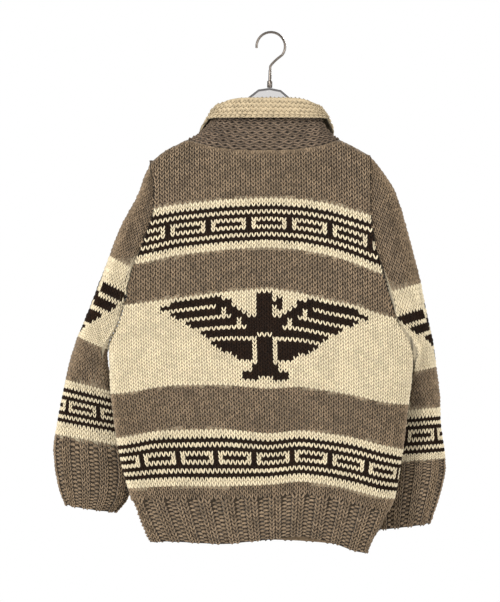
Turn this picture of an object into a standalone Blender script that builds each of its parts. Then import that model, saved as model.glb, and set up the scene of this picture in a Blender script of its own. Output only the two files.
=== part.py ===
"""A hand-knitted Cowichan cardigan hanging on a clear plastic hanger.

Run with: blender --background --python part.py

Frame: +Z up, metres. The origin is the inside top of the hanger's hook, where a rail carries it.
The garment's front faces -Y and the wearer's left is +X. Tables are in millimetres.

The garment is a flattened hollow tube. Its outer surface is a height over the plane Y = 0, worked
out by body_depth() from the outline in BODY. Panels are pieces of that surface with a wall of
knitted cloth under it, and the inside of the wall is the same surface made smaller by the wall.
"""
import math

import bmesh
import bpy
import numpy as np

MM = 0.001
COLLECTION = "cowichan_cardigan"

# ---------------------------------------------------------------- cloth
WALL = 6.0            # bulky six-strand knit
GAP = 0.3             # between pieces at a seam
ROUND = 2.4           # exponent of the flattened tube's rounded sides
RIB_RAISE = 2.6       # height of a rib over the furrow beside it
RIB_SHAPE = ((0.00, 0.0), (0.13, 1.0), (0.48, 1.0), (0.61, 0.0))  # (share of a rib, height)

# ---------------------------------------------------------------- hanger, before it is tilted
TILT = math.radians(1.6)
HOOK_RADIUS = 25.0    # of the wire's centre line
WIRE = 2.2            # radius of the hook's wire
HANGER_TOP = (        # x, z of the upper edge from the middle out, right half
    (0.0, -95.6), (20.0, -99.0), (36.0, -112.0), (52.0, -135.0), (72.0, -160.0), (100.0, -183.5),
    (131.0, -194.7), (150.0, -200.5), (165.0, -207.9), (174.0, -214.2), (178.0, -222.0), (180.0, -232.0),
)
FLANGE = 5.0          # half width of the arm's top and bottom flanges
FLANGE_THICK = 3.6
WEB = 1.4             # half thickness of the web
ARM_TALL = ((0.0, 22.0), (60.0, 24.0), (196.0, 13.0))  # x, height of the arm's section
FERRULE_TOP_Z = -63.7
FERRULE_TALL = 31.5
FERRULE_RADIUS = 4.6
FERRULE_SIDES = 20
FERRULE_EDGE = 0.7
HOOK_TIP_ANGLE = -8.0  # degrees about the crook's centre, from +X towards +Z
HOOK_END_ANGLE = 215.0
HOOK_STEPS = 18
HOOK_BEND_X = -4.0    # where the crook's wire bends back to the middle
HOOK_BEND_Z = -50.0
HOOK_BEND_STEPS = 4
HOOK_LEVEL = 6.0      # the wire runs straight into the ferrule over this height

# ---------------------------------------------------------------- outline of the body
# z, x of the left edge, x of the right edge, half depth at the middle, and the share of the
# tube's half width that lies inside the edge (1 where the side is closed, less at the armhole)
BODY = (
    (-175.0, 212.0, -172.9, 18.0, 0.50),
    (-226.8, 212.0, -172.9, 20.0, 0.55),
    (-267.0, 204.0, -172.9, 27.0, 0.62),
    (-317.0, 206.0, -173.5, 35.0, 0.72),
    (-377.0, 227.5, -182.0, 42.0, 0.82),
    (-409.0, 243.0, -192.5, 45.0, 0.87),
    (-458.0, 253.0, -206.0, 48.0, 0.92),
    (-501.0, 264.0, -220.0, 50.0, 0.96),
    (-538.5, 284.5, -248.5, 51.0, 1.00),
    (-572.0, 283.5, -248.0, 52.0, 1.00),
    (-620.0, 281.5, -244.5, 53.0, 1.00),
    (-665.0, 277.0, -238.5, 53.5, 1.00),
    (-705.0, 271.5, -234.0, 54.0, 1.00),
    (-750.0, 263.0, -227.0, 53.5, 1.00),
    (-785.0, 253.5, -221.5, 52.0, 1.00),
    (-817.0, 245.0, -216.0, 49.0, 1.00),
    (-858.0, 229.5, -195.0, 46.0, 1.00),
    (-900.0, 212.0, -170.0, 44.0, 1.00),
)
UNDERARM_Z = -538.5
RIBS_BACK = 12
RIBS_FRONT = 5
EVEN_SAMPLES = 200    # samples of a line whose ribs are spaced by length
HEM_Z = -890.0
SHOULDER_STEPS = 4
SLIP_FADE = 260.0     # columns even out below the neck over this height
SIDE_FADE = 12.0      # the side wall of the body comes in below the underarm over this height
CENTRE_FRONT = 14.0   # x where the two fronts meet
HEM_BACK = (          # x, z of the hem
    (220.0, -891.0), (98.0, -894.0), (52.0, -895.0), (13.0, -887.0), (-18.0, -881.0), (-56.0, -885.0),
    (-102.0, -899.0), (-141.0, -910.0), (-180.0, -899.0),
)
HEM_FRONT = (
    (220.0, -891.0), (100.0, -889.0), (14.0, -886.0), (-80.0, -890.0), (-180.0, -899.0),
)
FOLDS = (             # name, x, half width, height, z where it starts, z where it is full
    ("back_dip", 22.0, 34.0, -6.0, -600.0, -830.0),
    ("back_swell", -30.0, 34.0, 6.0, -600.0, -840.0),
    ("left_swell", 120.0, 55.0, 5.0, -420.0, -760.0),
    ("right_dip", -120.0, 40.0, -4.0, -560.0, -800.0),
)

# ---------------------------------------------------------------- neck
NECK_X = 12.6         # the garment hangs a little to the wearer's left of the hook
NECK_HALF = 131.4
NECK_TOP_Z = -183.0
BACK_NECK_DROP = 20.5
BACK_NECK_CURVE = 3.0
FRONT_NECK_DROP = 150.0
FRONT_NECK_CURVE = 0.9
RIDGE_ROUND = 18.0    # radius over the shoulder ridge
SHOULDERS = (         # x, z of the highest line of the cloth; its inside rests on the hanger's arms
    (-172.9, -212.5), (-153.7, -200.6), (-125.7, -186.6), (-118.8, -183.0), (144.0, -183.0),
    (154.4, -187.0), (182.4, -200.6), (201.6, -214.6), (212.0, -226.0),
)

# ---------------------------------------------------------------- front
BAND_HALF = 18.0
BAND_LIFT = WALL + GAP  # the left band laps over the right one
LIFT_FADE = 75.0      # the left front comes down from the band over this width
BAND_TOP_Z = -319.0
BAND_RIBS = 3
BAND_RIB_RAISE = 1.6
BAND_STEPS = 3        # across a plain band
BAND_ROWS = 12
BUTTONS = 5
BUTTON_TOP_Z = -375.0
BUTTON_LOW_Z = -845.0
BUTTON_RADIUS = 14.0
BUTTON_OUTLINE = (     # in from the rim, height; the face is sunk inside the rim
    (14.0, 0.0), (1.2, 0.0), (0.0, 1.2), (0.0, 3.8), (1.4, 5.0), (3.4, 5.0), (5.2, 3.6), (14.0, 3.6),
)
BUTTON_SIDES = 16

# ---------------------------------------------------------------- collar
# share of the way from the back's middle to a front end; fold line x (from the collar's middle),
# y, z; cast-off edge x, y, z; how far the stand sags between neck seam and fold
COLLAR_BACK_X = 5.0
COLLAR_SHOULDER = 0.6
COLLAR = (
    (0.00, 0.0, 24.0, -111.3, 0.0, 42.0, -149.0, 0.0),
    (0.20, 34.0, 23.0, -111.3, 47.0, 41.0, -149.0, 0.0),
    (0.35, 58.0, 19.0, -113.5, 77.0, 36.0, -149.0, 1.0),
    (0.50, 79.0, 8.0, -127.0, 102.0, 27.0, -149.0, 5.0),
    (0.60, 84.0, -3.0, -141.0, 106.0, 3.0, -153.0, 9.0),
    (0.70, 95.0, -17.0, -164.0, 122.0, -29.0, -182.0, 4.0),
    (0.80, 78.0, -24.0, -207.0, 101.0, -38.0, -232.0, 0.0),
    (0.90, 46.0, -31.0, -250.0, 68.0, -45.0, -280.0, 0.0),
    (1.00, 17.0, -40.0, -298.0, 32.0, -54.0, -326.0, 0.0),
)
COLLAR_WALL = 5.6
COLLAR_TURN = 5.4     # radius of the fold's middle surface
COLLAR_GAP = 0.5
STAND_LEAN = 0.6      # share of the stand over which it turns from the panel's direction to its own
STAND_RIDGES = 10
FALL_RIDGES = 4
RIDGE_RAISE = 1.5
NECK_BACK_STEPS = 16
NECK_FRONT_STEPS = 6
STAND_LINING = (0.25, 0.5, 0.75, 1.0)  # shares of the stand, the fold and the fall with a row of points
FOLD_LINING = (0.2, 0.4, 0.6, 0.8)
FOLD_FACE = (0.1, 0.5, 0.9)
FALL_FACE = (0.3, 0.65, 1.0)
STAND_END = 0.6       # the stand's share of the way from the neck seam to the cast-off edge
FOLD_KEYS = (0.65, 0.67, 0.69, 0.73)
FALL_START = 0.75

# ---------------------------------------------------------------- sleeves
# outer edge x, z; inner edge x, z; half depth; y of the middle. The first rows lie in the
# armhole, where the inner edge is only the end of the section and the cloth stops at the seam.
SLEEVE_LEFT = (
    (212.0, -222.0, 160.0, -247.0, 24.0, 0.0),
    (233.0, -284.5, 159.0, -316.0, 29.0, 0.0),
    (263.0, -337.0, 188.0, -372.0, 33.0, -1.0),
    (285.6, -396.5, 228.0, -430.0, 36.0, -3.0),
    (306.6, -452.5, 244.0, -482.0, 39.0, -6.0),
    (327.6, -505.0, 266.0, -528.0, 42.0, -10.0),
    (339.8, -533.0, 291.0, -556.0, 43.0, -17.0),
    (354.0, -575.0, 284.0, -596.0, 41.0, -36.0),
    (366.0, -627.5, 270.0, -650.0, 37.0, -56.0),
    (376.6, -680.0, 258.0, -701.0, 35.0, -66.0),
    (384.5, -725.5, 248.0, -748.0, 34.0, -70.0),
    (381.8, -760.5, 245.0, -783.0, 33.0, -70.0),
    (374.8, -799.0, 253.0, -820.0, 30.0, -69.0),
    (362.6, -829.0, 274.0, -842.0, 26.0, -67.0),
)
SLEEVE_RIGHT = (
    (-172.9, -212.8, -126.0, -232.0, 24.0, 0.0),
    (-214.9, -270.5, -106.0, -300.0, 29.0, 0.0),
    (-230.6, -317.8, -135.0, -347.0, 33.0, -1.0),
    (-244.6, -370.3, -160.0, -398.0, 36.0, -3.0),
    (-260.4, -431.5, -187.0, -452.0, 39.0, -6.0),
    (-272.6, -492.8, -211.0, -512.0, 42.0, -10.0),
    (-284.0, -542.0, -255.5, -554.0, 43.0, -18.0),
    (-290.2, -585.6, -246.0, -596.0, 41.0, -42.0),
    (-298.0, -634.6, -226.0, -643.0, 38.0, -66.0),
    (-299.0, -685.3, -204.0, -692.0, 35.0, -76.0),
    (-307.6, -739.6, -190.0, -746.0, 34.0, -79.0),
    (-308.5, -771.0, -186.0, -778.0, 33.0, -79.0),
    (-297.0, -816.6, -186.0, -822.0, 30.0, -77.0),
    (-281.0, -862.0, -190.0, -872.0, 26.0, -75.0),
)
UNDERARM_ROW = 6      # the first row whose section is closed
CUFF_ROW = 10         # ribs start here
SLEEVE_FANS = (0.0, 0.08, 0.2, 0.35, 0.5, 0.66, 0.82)
CUFF_ROWS = ((0.15, 0.0), (0.5, 1.0), (1.0, 1.0), (2.0, 1.0), (2.9, 1.0), (3.0, 0.6))  # rows past it
CUFF_MIDDLE = 1.5     # ribs are evenly spaced on this row past the cuff's start
CUFF_RIBS = 10
CLOSE_TURN = 0.06     # least turn between two points of the armhole's edge
SEAM_BLEND = 55.0     # the sleeve leaves the armhole's shape over this length
LEAVE_SEAM = 0.1      # least slope at which it leaves the body's side
CORNER = 25.0         # reach of the underarm's corner
EASE = 4.0            # the seam stands open by this at the corner's point
LINING_RISE = 1.4     # of the lining over the seam at the underarm, in walls
LEAST_SPREAD = 2.0    # the back and front of the lining stay this far from the underarm's line

COLOURS = {
    "brown_wool": (0.175, 0.130, 0.090, 0.92, 0.0),
    "cream_wool": (0.620, 0.530, 0.360, 0.92, 0.0),
    "wood": (0.210, 0.105, 0.050, 0.45, 0.0),
    "clear_plastic": (0.800, 0.780, 0.780, 0.12, 0.0),
    "chrome": (0.560, 0.560, 0.570, 0.18, 1.0),
}


def column(table, index):
    return np.array([row[index] for row in table], float)


def along(table, at, index):
    """The value of a table's column where its first column is at."""
    keys = column(table, 0)
    values = column(table, index)
    if keys[0] > keys[-1]:
        keys = keys[::-1]
        values = values[::-1]
    return float(np.interp(at, keys, values))


def smooth(t):
    t = min(max(t, 0.0), 1.0)
    return t * t * (3.0 - 2.0 * t)


# ---------------------------------------------------------------- hanger and shoulder line
def tilted(x, z):
    """A point of the hanger where it hangs, turned about the hook's inside top."""
    return (x * math.cos(TILT) - z * math.sin(TILT), z * math.cos(TILT) + x * math.sin(TILT))


def ridge(x):
    """Height of the cloth's outer surface along the shoulders, and level across the neck."""
    return along(SHOULDERS, x, 1)


# ---------------------------------------------------------------- body surface
def tube(ratio):
    """Depth of a flattened tube, as a share, at a share of its half width."""
    return max(0.0, 1.0 - min(abs(ratio), 1.0) ** ROUND) ** (1.0 / ROUND)


def fold_height(x, z):
    height = 0.0
    for _, at, half_width, raise_by, start, full in FOLDS:
        strength = smooth((start - z) / (start - full))
        height += raise_by * strength * math.exp(-((x - at) / half_width) ** 2)
    return height


def body_edges(z):
    left = along(BODY, z, 1)
    right = along(BODY, z, 2)
    return left, right


def body_depth(x, z, inset=0.0, side=1.0):
    """Distance of the body's surface from the plane Y = 0, less a wall of inset."""
    left, right = body_edges(z)
    middle = 0.5 * (left + right)
    share = along(BODY, z, 4)
    half_width = 0.5 * (left - right) / share - inset
    depth = along(BODY, z, 3) - inset
    if side > 0.0:
        depth += fold_height(x, z) * tube((x - middle) / half_width)
    over = min(max((ridge(x) - inset - z) / (RIDGE_ROUND - inset), 0.0), 1.0)
    return depth * tube((x - middle) / half_width) * math.sqrt(1.0 - (1.0 - over) ** 2)


def neck_z(x, side):
    ratio = min(abs(x - NECK_X) / NECK_HALF, 1.0)
    if side > 0.0:
        return NECK_TOP_Z - BACK_NECK_DROP * (1.0 - ratio ** BACK_NECK_CURVE)
    return NECK_TOP_Z - FRONT_NECK_DROP * (1.0 - ratio) ** FRONT_NECK_CURVE


def top_z(x, side):
    if abs(x - NECK_X) < NECK_HALF - 1e-6:
        return neck_z(x, side)
    return ridge(x)


def hem_z(x, side):
    return along(HEM_BACK if side > 0.0 else HEM_FRONT, x, 1)


def body_point(x, z, side, inset):
    """A point of the body's outer surface, or of the inside of its wall."""
    over = min(max((ridge(x) - z) / RIDGE_ROUND, 0.0), 1.0)
    if inset:
        z = z - inset * (1.0 - over)
    y = max(body_depth(x, z, inset, side), 0.5 * GAP)
    return np.array((x, side * y, z))


def edge_turn(edge, z, half_width, middle):
    """Where an edge lies on the flattened tube, as an angle from the left side to the right."""
    if edge in ("left", "right"):
        start = math.acos(along(BODY, z, 4) ** (ROUND / 2.0))
        return start if edge == "left" else math.pi - start
    reach = (edge - middle) / half_width
    return math.acos(math.copysign(abs(reach) ** (ROUND / 2.0), reach))


def row_x(share, z, inset, edges):
    """x at a share of the way between two edges, with the points closer at the sides."""
    left, right = body_edges(z)
    middle = 0.5 * (left + right)
    side_inset = inset * smooth((UNDERARM_Z + SIDE_FADE - z) / SIDE_FADE)
    half_width = (0.5 * (left - right) - side_inset) / along(BODY, z, 4)
    first = edge_turn(edges[0], z, half_width, middle)
    last = edge_turn(edges[1], z, half_width, middle)
    turn = first + (last - first) * share
    reach = math.copysign(abs(math.cos(turn)) ** (2.0 / ROUND), math.cos(turn))
    return middle + half_width * reach


def neck_xs(start, end, steps):
    """x along the neck between two angles from the left neck point."""
    turns = np.linspace(start, end, steps + 1)
    return [NECK_X + NECK_HALF * math.cos(turn) for turn in turns]


def shoulder_xs(side_x, neck_x):
    return list(np.linspace(side_x, neck_x, SHOULDER_STEPS, endpoint=False))


def panel_point(share, down, top_x, side, inset, edges):
    """A point of a panel: share across it, down from its top edge (0) to its hem (1)."""
    start = top_z(top_x, side)
    end = hem_z(row_x(share, HEM_Z, 0.0, edges), side)
    z = float(np.interp(down, (0.0, UNDERARM_DOWN, 1.0), (start, UNDERARM_Z, end)))
    slip = top_x - row_x(share, start, 0.0, edges)
    fade = 1.0 - smooth((start - z) / SLIP_FADE)
    return body_point(row_x(share, z, inset, edges) + slip * fade, z, side, inset)


# ---------------------------------------------------------------- walls
def zip_rows(bm, first, second, first_keys=None, second_keys=None):
    """Triangles between two rows of points, which may have unlike counts and spacings."""
    if first_keys is None:
        first_keys = np.linspace(0.0, 1.0, len(first))
    if second_keys is None:
        second_keys = np.linspace(0.0, 1.0, len(second))
    i = 0
    j = 0
    while i < len(first) - 1 or j < len(second) - 1:
        next_i = first_keys[i + 1] if i < len(first) - 1 else 9.0
        next_j = second_keys[j + 1] if j < len(second) - 1 else 9.0
        if next_i <= next_j:
            bm.faces.new((first[i], first[i + 1], second[j]))
            i += 1
        else:
            bm.faces.new((first[i], second[j + 1], second[j]))
            j += 1


def finish(bm, name, material, smooth_angle=50.0):
    bmesh.ops.recalc_face_normals(bm, faces=bm.faces)
    mesh = bpy.data.meshes.new(name)
    bm.to_mesh(mesh)
    bm.free()
    mesh.shade_smooth()
    mesh.set_sharp_from_angle(angle=math.radians(smooth_angle))
    mesh.materials.append(material)
    part = bpy.data.objects.new(name, mesh)
    bpy.data.collections[COLLECTION].objects.link(part)
    return part


def wall(name, outer, inner, material, keys=(None, None), closed=False):
    """A closed wall between an outer and an inner sheet, given as rows of points in mm.

    keys say how far along each row of either sheet lies, for the faces along the side edges. A
    closed wall is a tube, whose end faces are split the same way on its back and its front.
    """
    bm = bmesh.new()
    sheets = []
    for sheet in (outer, inner):
        rows = []
        for row in sheet:
            verts = [bm.verts.new(np.asarray(point) * MM) for point in row]
            if closed:
                verts.append(verts[0])
            rows.append(verts)
        sheets.append(rows)
    for rows in sheets:
        for upper, lower in zip(rows, rows[1:]):
            join_rows(bm, upper, lower)
    for end in (0, -1):
        outer_end = sheets[0][end]
        inner_end = sheets[1][end]
        if closed and len(outer_end) == len(inner_end):
            half = len(outer_end) // 2
            zip_rows(bm, outer_end[:half + 1], inner_end[:half + 1])
            zip_rows(bm, inner_end[half:], outer_end[half:])
        else:
            join_rows(bm, outer_end, inner_end)
    if not closed:
        for end in (0, -1):
            zip_rows(bm, [row[end] for row in sheets[0]], [row[end] for row in sheets[1]], *keys)
    return finish(bm, name, material)


def share_keys(row):
    """How far along a row of vertices each lies, as a share of its length."""
    steps = [(after.co - before.co).length for before, after in zip(row, row[1:])]
    lengths = np.concatenate(([0.0], np.cumsum(steps)))
    return list(lengths / lengths[-1])


def join_rows(bm, first, second):
    """Rows with the same number of points are joined point by point, and others by length."""
    if len(first) == len(second):
        zip_rows(bm, first, second)
    else:
        zip_rows(bm, first, second, share_keys(first), share_keys(second))


def even_shares(shares, place):
    """Shares moved so that even steps are even lengths of the line that place(share) draws."""
    samples = np.linspace(0.0, 1.0, EVEN_SAMPLES + 1)
    points = np.array([place(sample) for sample in samples])
    steps = np.linalg.norm(np.diff(points, axis=0), axis=1)
    lengths = np.concatenate(([0.0], np.cumsum(steps)))
    return list(np.interp(np.asarray(shares) * lengths[-1], lengths, samples))


def rib_points(ribs, closed=False):
    """(share of the way, height) of the points that shape a row of ribs."""
    points = [((rib + at) / ribs, height) for rib in range(ribs) for at, height in RIB_SHAPE]
    if not closed:
        points[0] = (0.0, 1.0)
        points.append((1.0, 1.0))
    return points


# ---------------------------------------------------------------- back and fronts
UNDERARM_DOWN = 0.476
ARMHOLE_DOWN = (
    0.0, 0.006, 0.02, 0.05, 0.09, 0.135, 0.18, 0.235, 0.29, 0.345, 0.4, 0.44, 0.463, UNDERARM_DOWN,
)
PLAIN_DOWN = ARMHOLE_DOWN + (0.53, 0.6, 0.67, 0.74, 0.81, 0.865)
RIB_DOWN = ((0.88, 0.0), (0.9, 1.0), (0.94, 1.0), (0.985, 1.0), (1.0, 0.6))  # down, rib height
INNER_DOWN = ARMHOLE_DOWN + (0.58, 0.68, 0.78, 0.88, 1.0)


def flat_lift(x):
    return 0.0


def left_lift(x):
    """How far the left front stands out to reach the band that laps over the right one."""
    return BAND_LIFT * (1.0 - smooth((x - CENTRE_FRONT - BAND_HALF) / LIFT_FADE))


def make_panel(name, xs, side, edges, ribs, material, lift=flat_lift):
    steps = len(xs) - 1

    def row_of(down, shares, insets):
        row = []
        for share, inset in zip(shares, insets):
            top_x = float(np.interp(share * steps, range(steps + 1), xs))
            point = panel_point(share, down, top_x, side, inset, edges)
            point[1] += side * lift(point[0])
            row.append(point)
        return row

    shares = [i / steps for i in range(steps + 1)]
    outer = [row_of(down, shares, [0.0] * len(shares)) for down in PLAIN_DOWN]

    def hem_place(share):
        x = row_x(share, HEM_Z, 0.0, edges)
        return (x, body_depth(x, HEM_Z, 0.0, side))

    rib_shares = even_shares([at for at, _ in rib_points(ribs)], hem_place)
    for down, strength in RIB_DOWN:
        sinks = [RIB_RAISE * strength * (1.0 - height) for _, height in rib_points(ribs)]
        outer.append(row_of(down, rib_shares, sinks))
    inner = [row_of(down, shares, [WALL] * len(shares)) for down in INNER_DOWN[:-1]]
    inner.append(row_of(INNER_DOWN[-1], rib_shares, [WALL] * len(rib_shares)))
    downs = list(PLAIN_DOWN) + [down for down, _ in RIB_DOWN]
    wall(name, outer, inner, material, (downs, INNER_DOWN))


def front_end_turn(side_of_body):
    """Angle along the neck, from the neck point, where a front's neck edge ends at its band."""
    end_x = CENTRE_FRONT + side_of_body * BAND_HALF
    return math.acos((end_x - NECK_X) / NECK_HALF)


def make_panels(wool):
    left, right = body_edges(BODY[0][0])
    back_xs = shoulder_xs(left, NECK_X + NECK_HALF)
    back_xs += neck_xs(0.0, math.pi, NECK_BACK_STEPS)
    back_xs += shoulder_xs(right, NECK_X - NECK_HALF)[::-1]
    make_panel("back", back_xs, 1.0, ("left", "right"), RIBS_BACK, wool)

    gap = 0.5 * GAP
    left_xs = shoulder_xs(left, NECK_X + NECK_HALF)
    left_xs += neck_xs(0.0, front_end_turn(1.0), NECK_FRONT_STEPS)
    left_edges = (CENTRE_FRONT + BAND_HALF + gap, "left")
    make_panel("front_left", left_xs[::-1], -1.0, left_edges, RIBS_FRONT, wool, left_lift)

    right_xs = neck_xs(front_end_turn(-1.0), math.pi, NECK_FRONT_STEPS)
    right_xs += shoulder_xs(right, NECK_X - NECK_HALF)[::-1]
    right_edges = ("right", CENTRE_FRONT - BAND_HALF - gap)
    make_panel("front_right", right_xs[::-1], -1.0, right_edges, RIBS_FRONT, wool)


# ---------------------------------------------------------------- bands and buttons
BAND_DOWN = np.linspace(0.0, 1.0, BAND_ROWS)


def make_band(name, lift, ribs, material):
    left_x = CENTRE_FRONT + BAND_HALF - 0.5 * GAP
    right_x = CENTRE_FRONT - BAND_HALF + 0.5 * GAP
    plain = [(i / BAND_STEPS, 1.0) for i in range(BAND_STEPS + 1)]
    across = rib_points(ribs) if ribs else plain

    def sheet(points, inset):
        rows = []
        for down in BAND_DOWN:
            row = []
            for share, height in points:
                x = left_x + (right_x - left_x) * share
                z = BAND_TOP_Z + (hem_z(x, -1.0) - BAND_TOP_Z) * down
                depth = body_depth(x, z, 0.0, -1.0) + lift - inset - BAND_RIB_RAISE * (1.0 - height)
                row.append((x, -depth, z))
            rows.append(row)
        return rows

    inner = sheet(plain, WALL)
    wall(name, sheet(across, 0.0), inner, material, (BAND_DOWN, BAND_DOWN))


def band_depth(z):
    """Depth of the band's facets at a height, where they stand out most."""
    heights = [BAND_TOP_Z + (HEM_Z - BAND_TOP_Z) * down for down in BAND_DOWN[::-1]]
    deepest = 0.0
    for x in (CENTRE_FRONT - BAND_HALF, CENTRE_FRONT, CENTRE_FRONT + BAND_HALF):
        depths = [body_depth(x, height, 0.0, -1.0) for height in heights]
        deepest = max(deepest, float(np.interp(z, heights, depths)))
    return deepest


def make_button(name, z, material):
    """A turned disc with a raised rim, its back against the band."""
    mesh = bpy.data.meshes.new(name)
    points = [((BUTTON_RADIUS - within) * MM, 0.0, height * MM) for within, height in BUTTON_OUTLINE[::-1]]
    mesh.from_pydata(points, [(i, i + 1) for i in range(len(points) - 1)], [])
    mesh.materials.append(material)
    button = bpy.data.objects.new(name, mesh)
    bpy.data.collections[COLLECTION].objects.link(button)
    screw = button.modifiers.new("turned", "SCREW")
    screw.steps = BUTTON_SIDES
    screw.render_steps = BUTTON_SIDES
    screw.use_merge_vertices = True
    screw.merge_threshold = 0.00001
    screw.use_normal_calculate = True
    high = band_depth(z + BUTTON_RADIUS)
    low = band_depth(z - BUTTON_RADIUS)
    lean = math.atan2(low - high, 2.0 * BUTTON_RADIUS)
    depth = max(0.5 * (low + high), band_depth(z)) + BAND_LIFT + 2.0 * GAP
    button.rotation_euler = (0.5 * math.pi - lean, 0.0, 0.0)
    button.location = (CENTRE_FRONT * MM, -depth * MM, z * MM)


def make_front(wool, wood):
    make_band("band_right", 0.0, 0, wool)
    make_band("band_left", BAND_LIFT, BAND_RIBS, wool)
    for number in range(BUTTONS):
        z = BUTTON_TOP_Z + (BUTTON_LOW_Z - BUTTON_TOP_Z) * number / (BUTTONS - 1)
        make_button(f"button_{number + 1}", z, wood)


# ---------------------------------------------------------------- collar
def collar_columns():
    """(side of the body, share toward the front end, neck seam x, panel side, lift) of each column."""
    columns = []
    for side_of_body in (1.0, -1.0):
        end = front_end_turn(side_of_body)
        first = 0.0 if side_of_body > 0.0 else math.pi
        xs = neck_xs(first, end, NECK_FRONT_STEPS)
        lift = left_lift if side_of_body > 0.0 else flat_lift
        front = []
        for i, x in enumerate(xs[1:], 1):
            share = COLLAR_SHOULDER + (1.0 - COLLAR_SHOULDER) * i / NECK_FRONT_STEPS
            front.append((side_of_body, share, x, -1.0, lift(x)))
        columns.append(front)
    back = []
    for i, x in enumerate(neck_xs(0.0, math.pi, NECK_BACK_STEPS)):
        off_middle = 1.0 - 2.0 * i / NECK_BACK_STEPS
        side_of_body = 1.0 if off_middle >= 0.0 else -1.0
        back.append((side_of_body, COLLAR_SHOULDER * abs(off_middle), x, 1.0, 0.0))
    return columns[0][::-1] + back + columns[1]


def unit(vector):
    return vector / np.linalg.norm(vector)


def collar_lines():
    """Neck seam's outer and inner edges, fold and cast-off edge of every column, and its sag."""
    lines = []
    for side_of_body, share, x, panel_side, lift in collar_columns():
        middle = COLLAR_BACK_X + (CENTRE_FRONT - COLLAR_BACK_X) * smooth((share - 0.5) / 0.5)
        fold = np.array([middle + side_of_body * along(COLLAR, share, 1), along(COLLAR, share, 2),
                         along(COLLAR, share, 3)])
        edge = np.array([middle + side_of_body * along(COLLAR, share, 4), along(COLLAR, share, 5),
                         along(COLLAR, share, 6)])
        z = neck_z(x, panel_side)
        outer = body_point(x, z, panel_side, 0.0)
        inner = body_point(x, z, panel_side, WALL)
        for point in (outer, inner, fold, edge):
            point[1] -= lift
        lines.append((outer, inner, fold, edge, along(COLLAR, share, 7)))
    return lines


def make_collar(wool):
    lines = collar_lines()
    half = 0.5 * COLLAR_WALL
    face = []
    lining = []
    for number, (outer, inner, fold, edge, sag) in enumerate(lines):
        before = lines[max(number - 1, 0)]
        after = lines[min(number + 1, len(lines) - 1)]
        tangent = unit(unit(before[0] - after[0]) + unit(before[2] - after[2]))
        along_seam = unit(before[0] - after[0])
        rise = unit(fold - 0.5 * (outer + inner))
        step = COLLAR_GAP * unit(rise - along_seam * np.dot(rise, along_seam))
        outer = outer + step
        inner = inner + step
        seam = 0.5 * (outer + inner)
        out = unit(np.cross(rise, tangent))
        top = fold - rise * (COLLAR_TURN + half)
        centre = top + out * COLLAR_TURN
        drop = unit(edge - centre - out * COLLAR_TURN)
        bend = math.pi - math.atan2(np.dot(drop, out), -np.dot(drop, rise))

        def spoke(share_of_bend):
            angle = bend * share_of_bend
            return rise * math.sin(angle) - out * math.cos(angle)

        hang = centre + spoke(1.0) * COLLAR_TURN
        fall = edge - hang
        fall_out = unit(spoke(1.0) - unit(fall) * np.dot(spoke(1.0), unit(fall)))
        pitch = np.linalg.norm(top - seam) / STAND_RIDGES
        raise_by = RIDGE_RAISE * smooth((pitch - 1.5) / 5.0)

        def stand_point(t, offset):
            lean = smooth(t / STAND_LEAN)
            across = unit(unit(outer - inner) * (1.0 - lean) + out * lean)
            return seam + (top - seam) * t - out * sag * 4.0 * t * (1.0 - t) + across * offset

        stand_rows = 2 * STAND_RIDGES
        front_rows = [outer]
        for k in range(1, stand_rows + 1):
            height = raise_by if k % 2 else 0.0
            front_rows.append(stand_point(k / (stand_rows + 1.0), half - RIDGE_RAISE + height))
        for part_way in FOLD_FACE:
            front_rows.append(centre + spoke(part_way) * (COLLAR_TURN - half))
        for t in FALL_FACE:
            front_rows.append(hang + fall * t - fall_out * half)

        back_rows = [inner]
        for t in STAND_LINING:
            back_rows.append(stand_point(t, -half))
        for part_way in FOLD_LINING:
            back_rows.append(centre + spoke(part_way) * (COLLAR_TURN + half))
        fall_rows = 2 * FALL_RIDGES
        for k in range(fall_rows + 1):
            height = 0.0 if k % 2 else RIDGE_RAISE
            t = (k + 0.6) / (fall_rows + 0.6)
            back_rows.append(hang + fall * t + fall_out * (half - RIDGE_RAISE + height))
        face.append(front_rows)
        lining.append(back_rows)

    face_keys = list(np.linspace(0.0, STAND_END, 2 * STAND_RIDGES + 1)) + [0.64, 0.68, 0.72, 0.8, 0.9, 1.0]
    lining_keys = [0.0] + [(STAND_END + 0.01) * t for t in STAND_LINING] + list(FOLD_KEYS)
    lining_keys += list(np.linspace(FALL_START, 1.0, 2 * FALL_RIDGES + 1))
    wall("collar", list(zip(*face)), list(zip(*lining)), wool, (face_keys, lining_keys))


# ---------------------------------------------------------------- sleeves
def sleeve_point(table, turn, row, inset):
    """A point of a sleeve's flattened tube; turn 0 is its outer edge and pi the inner one."""
    rows = range(len(table))
    outer = np.array([np.interp(row, rows, column(table, i)) for i in (0, 1)])
    inner = np.array([np.interp(row, rows, column(table, i)) for i in (2, 3)])
    depth = np.interp(row, rows, column(table, 4)) - inset
    middle_y = np.interp(row, rows, column(table, 5))
    centre = 0.5 * (outer + inner)
    arm = 0.5 * (outer - inner)
    arm *= 1.0 - inset / np.linalg.norm(arm)
    reach = math.copysign(abs(math.cos(turn)) ** (2.0 / ROUND), math.cos(turn))
    swell = math.copysign(abs(math.sin(turn)) ** (2.0 / ROUND), math.sin(turn))
    flat = centre + arm * reach
    return np.array((flat[0], middle_y + depth * swell, flat[1]))


def armhole_row(table, turn, which):
    """The row at which a column of the sleeve leaves the body's edge."""
    low = 0.0
    high = UNDERARM_ROW + 1.0
    for _ in range(24):
        row = 0.5 * (low + high)
        point = sleeve_point(table, turn, row, 0.0)
        edge_x = along(BODY, point[2], 1 if which > 0.0 else 2)
        if which * (point[0] - edge_x) > 0.0:
            high = row
        else:
            low = row
    return low


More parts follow.
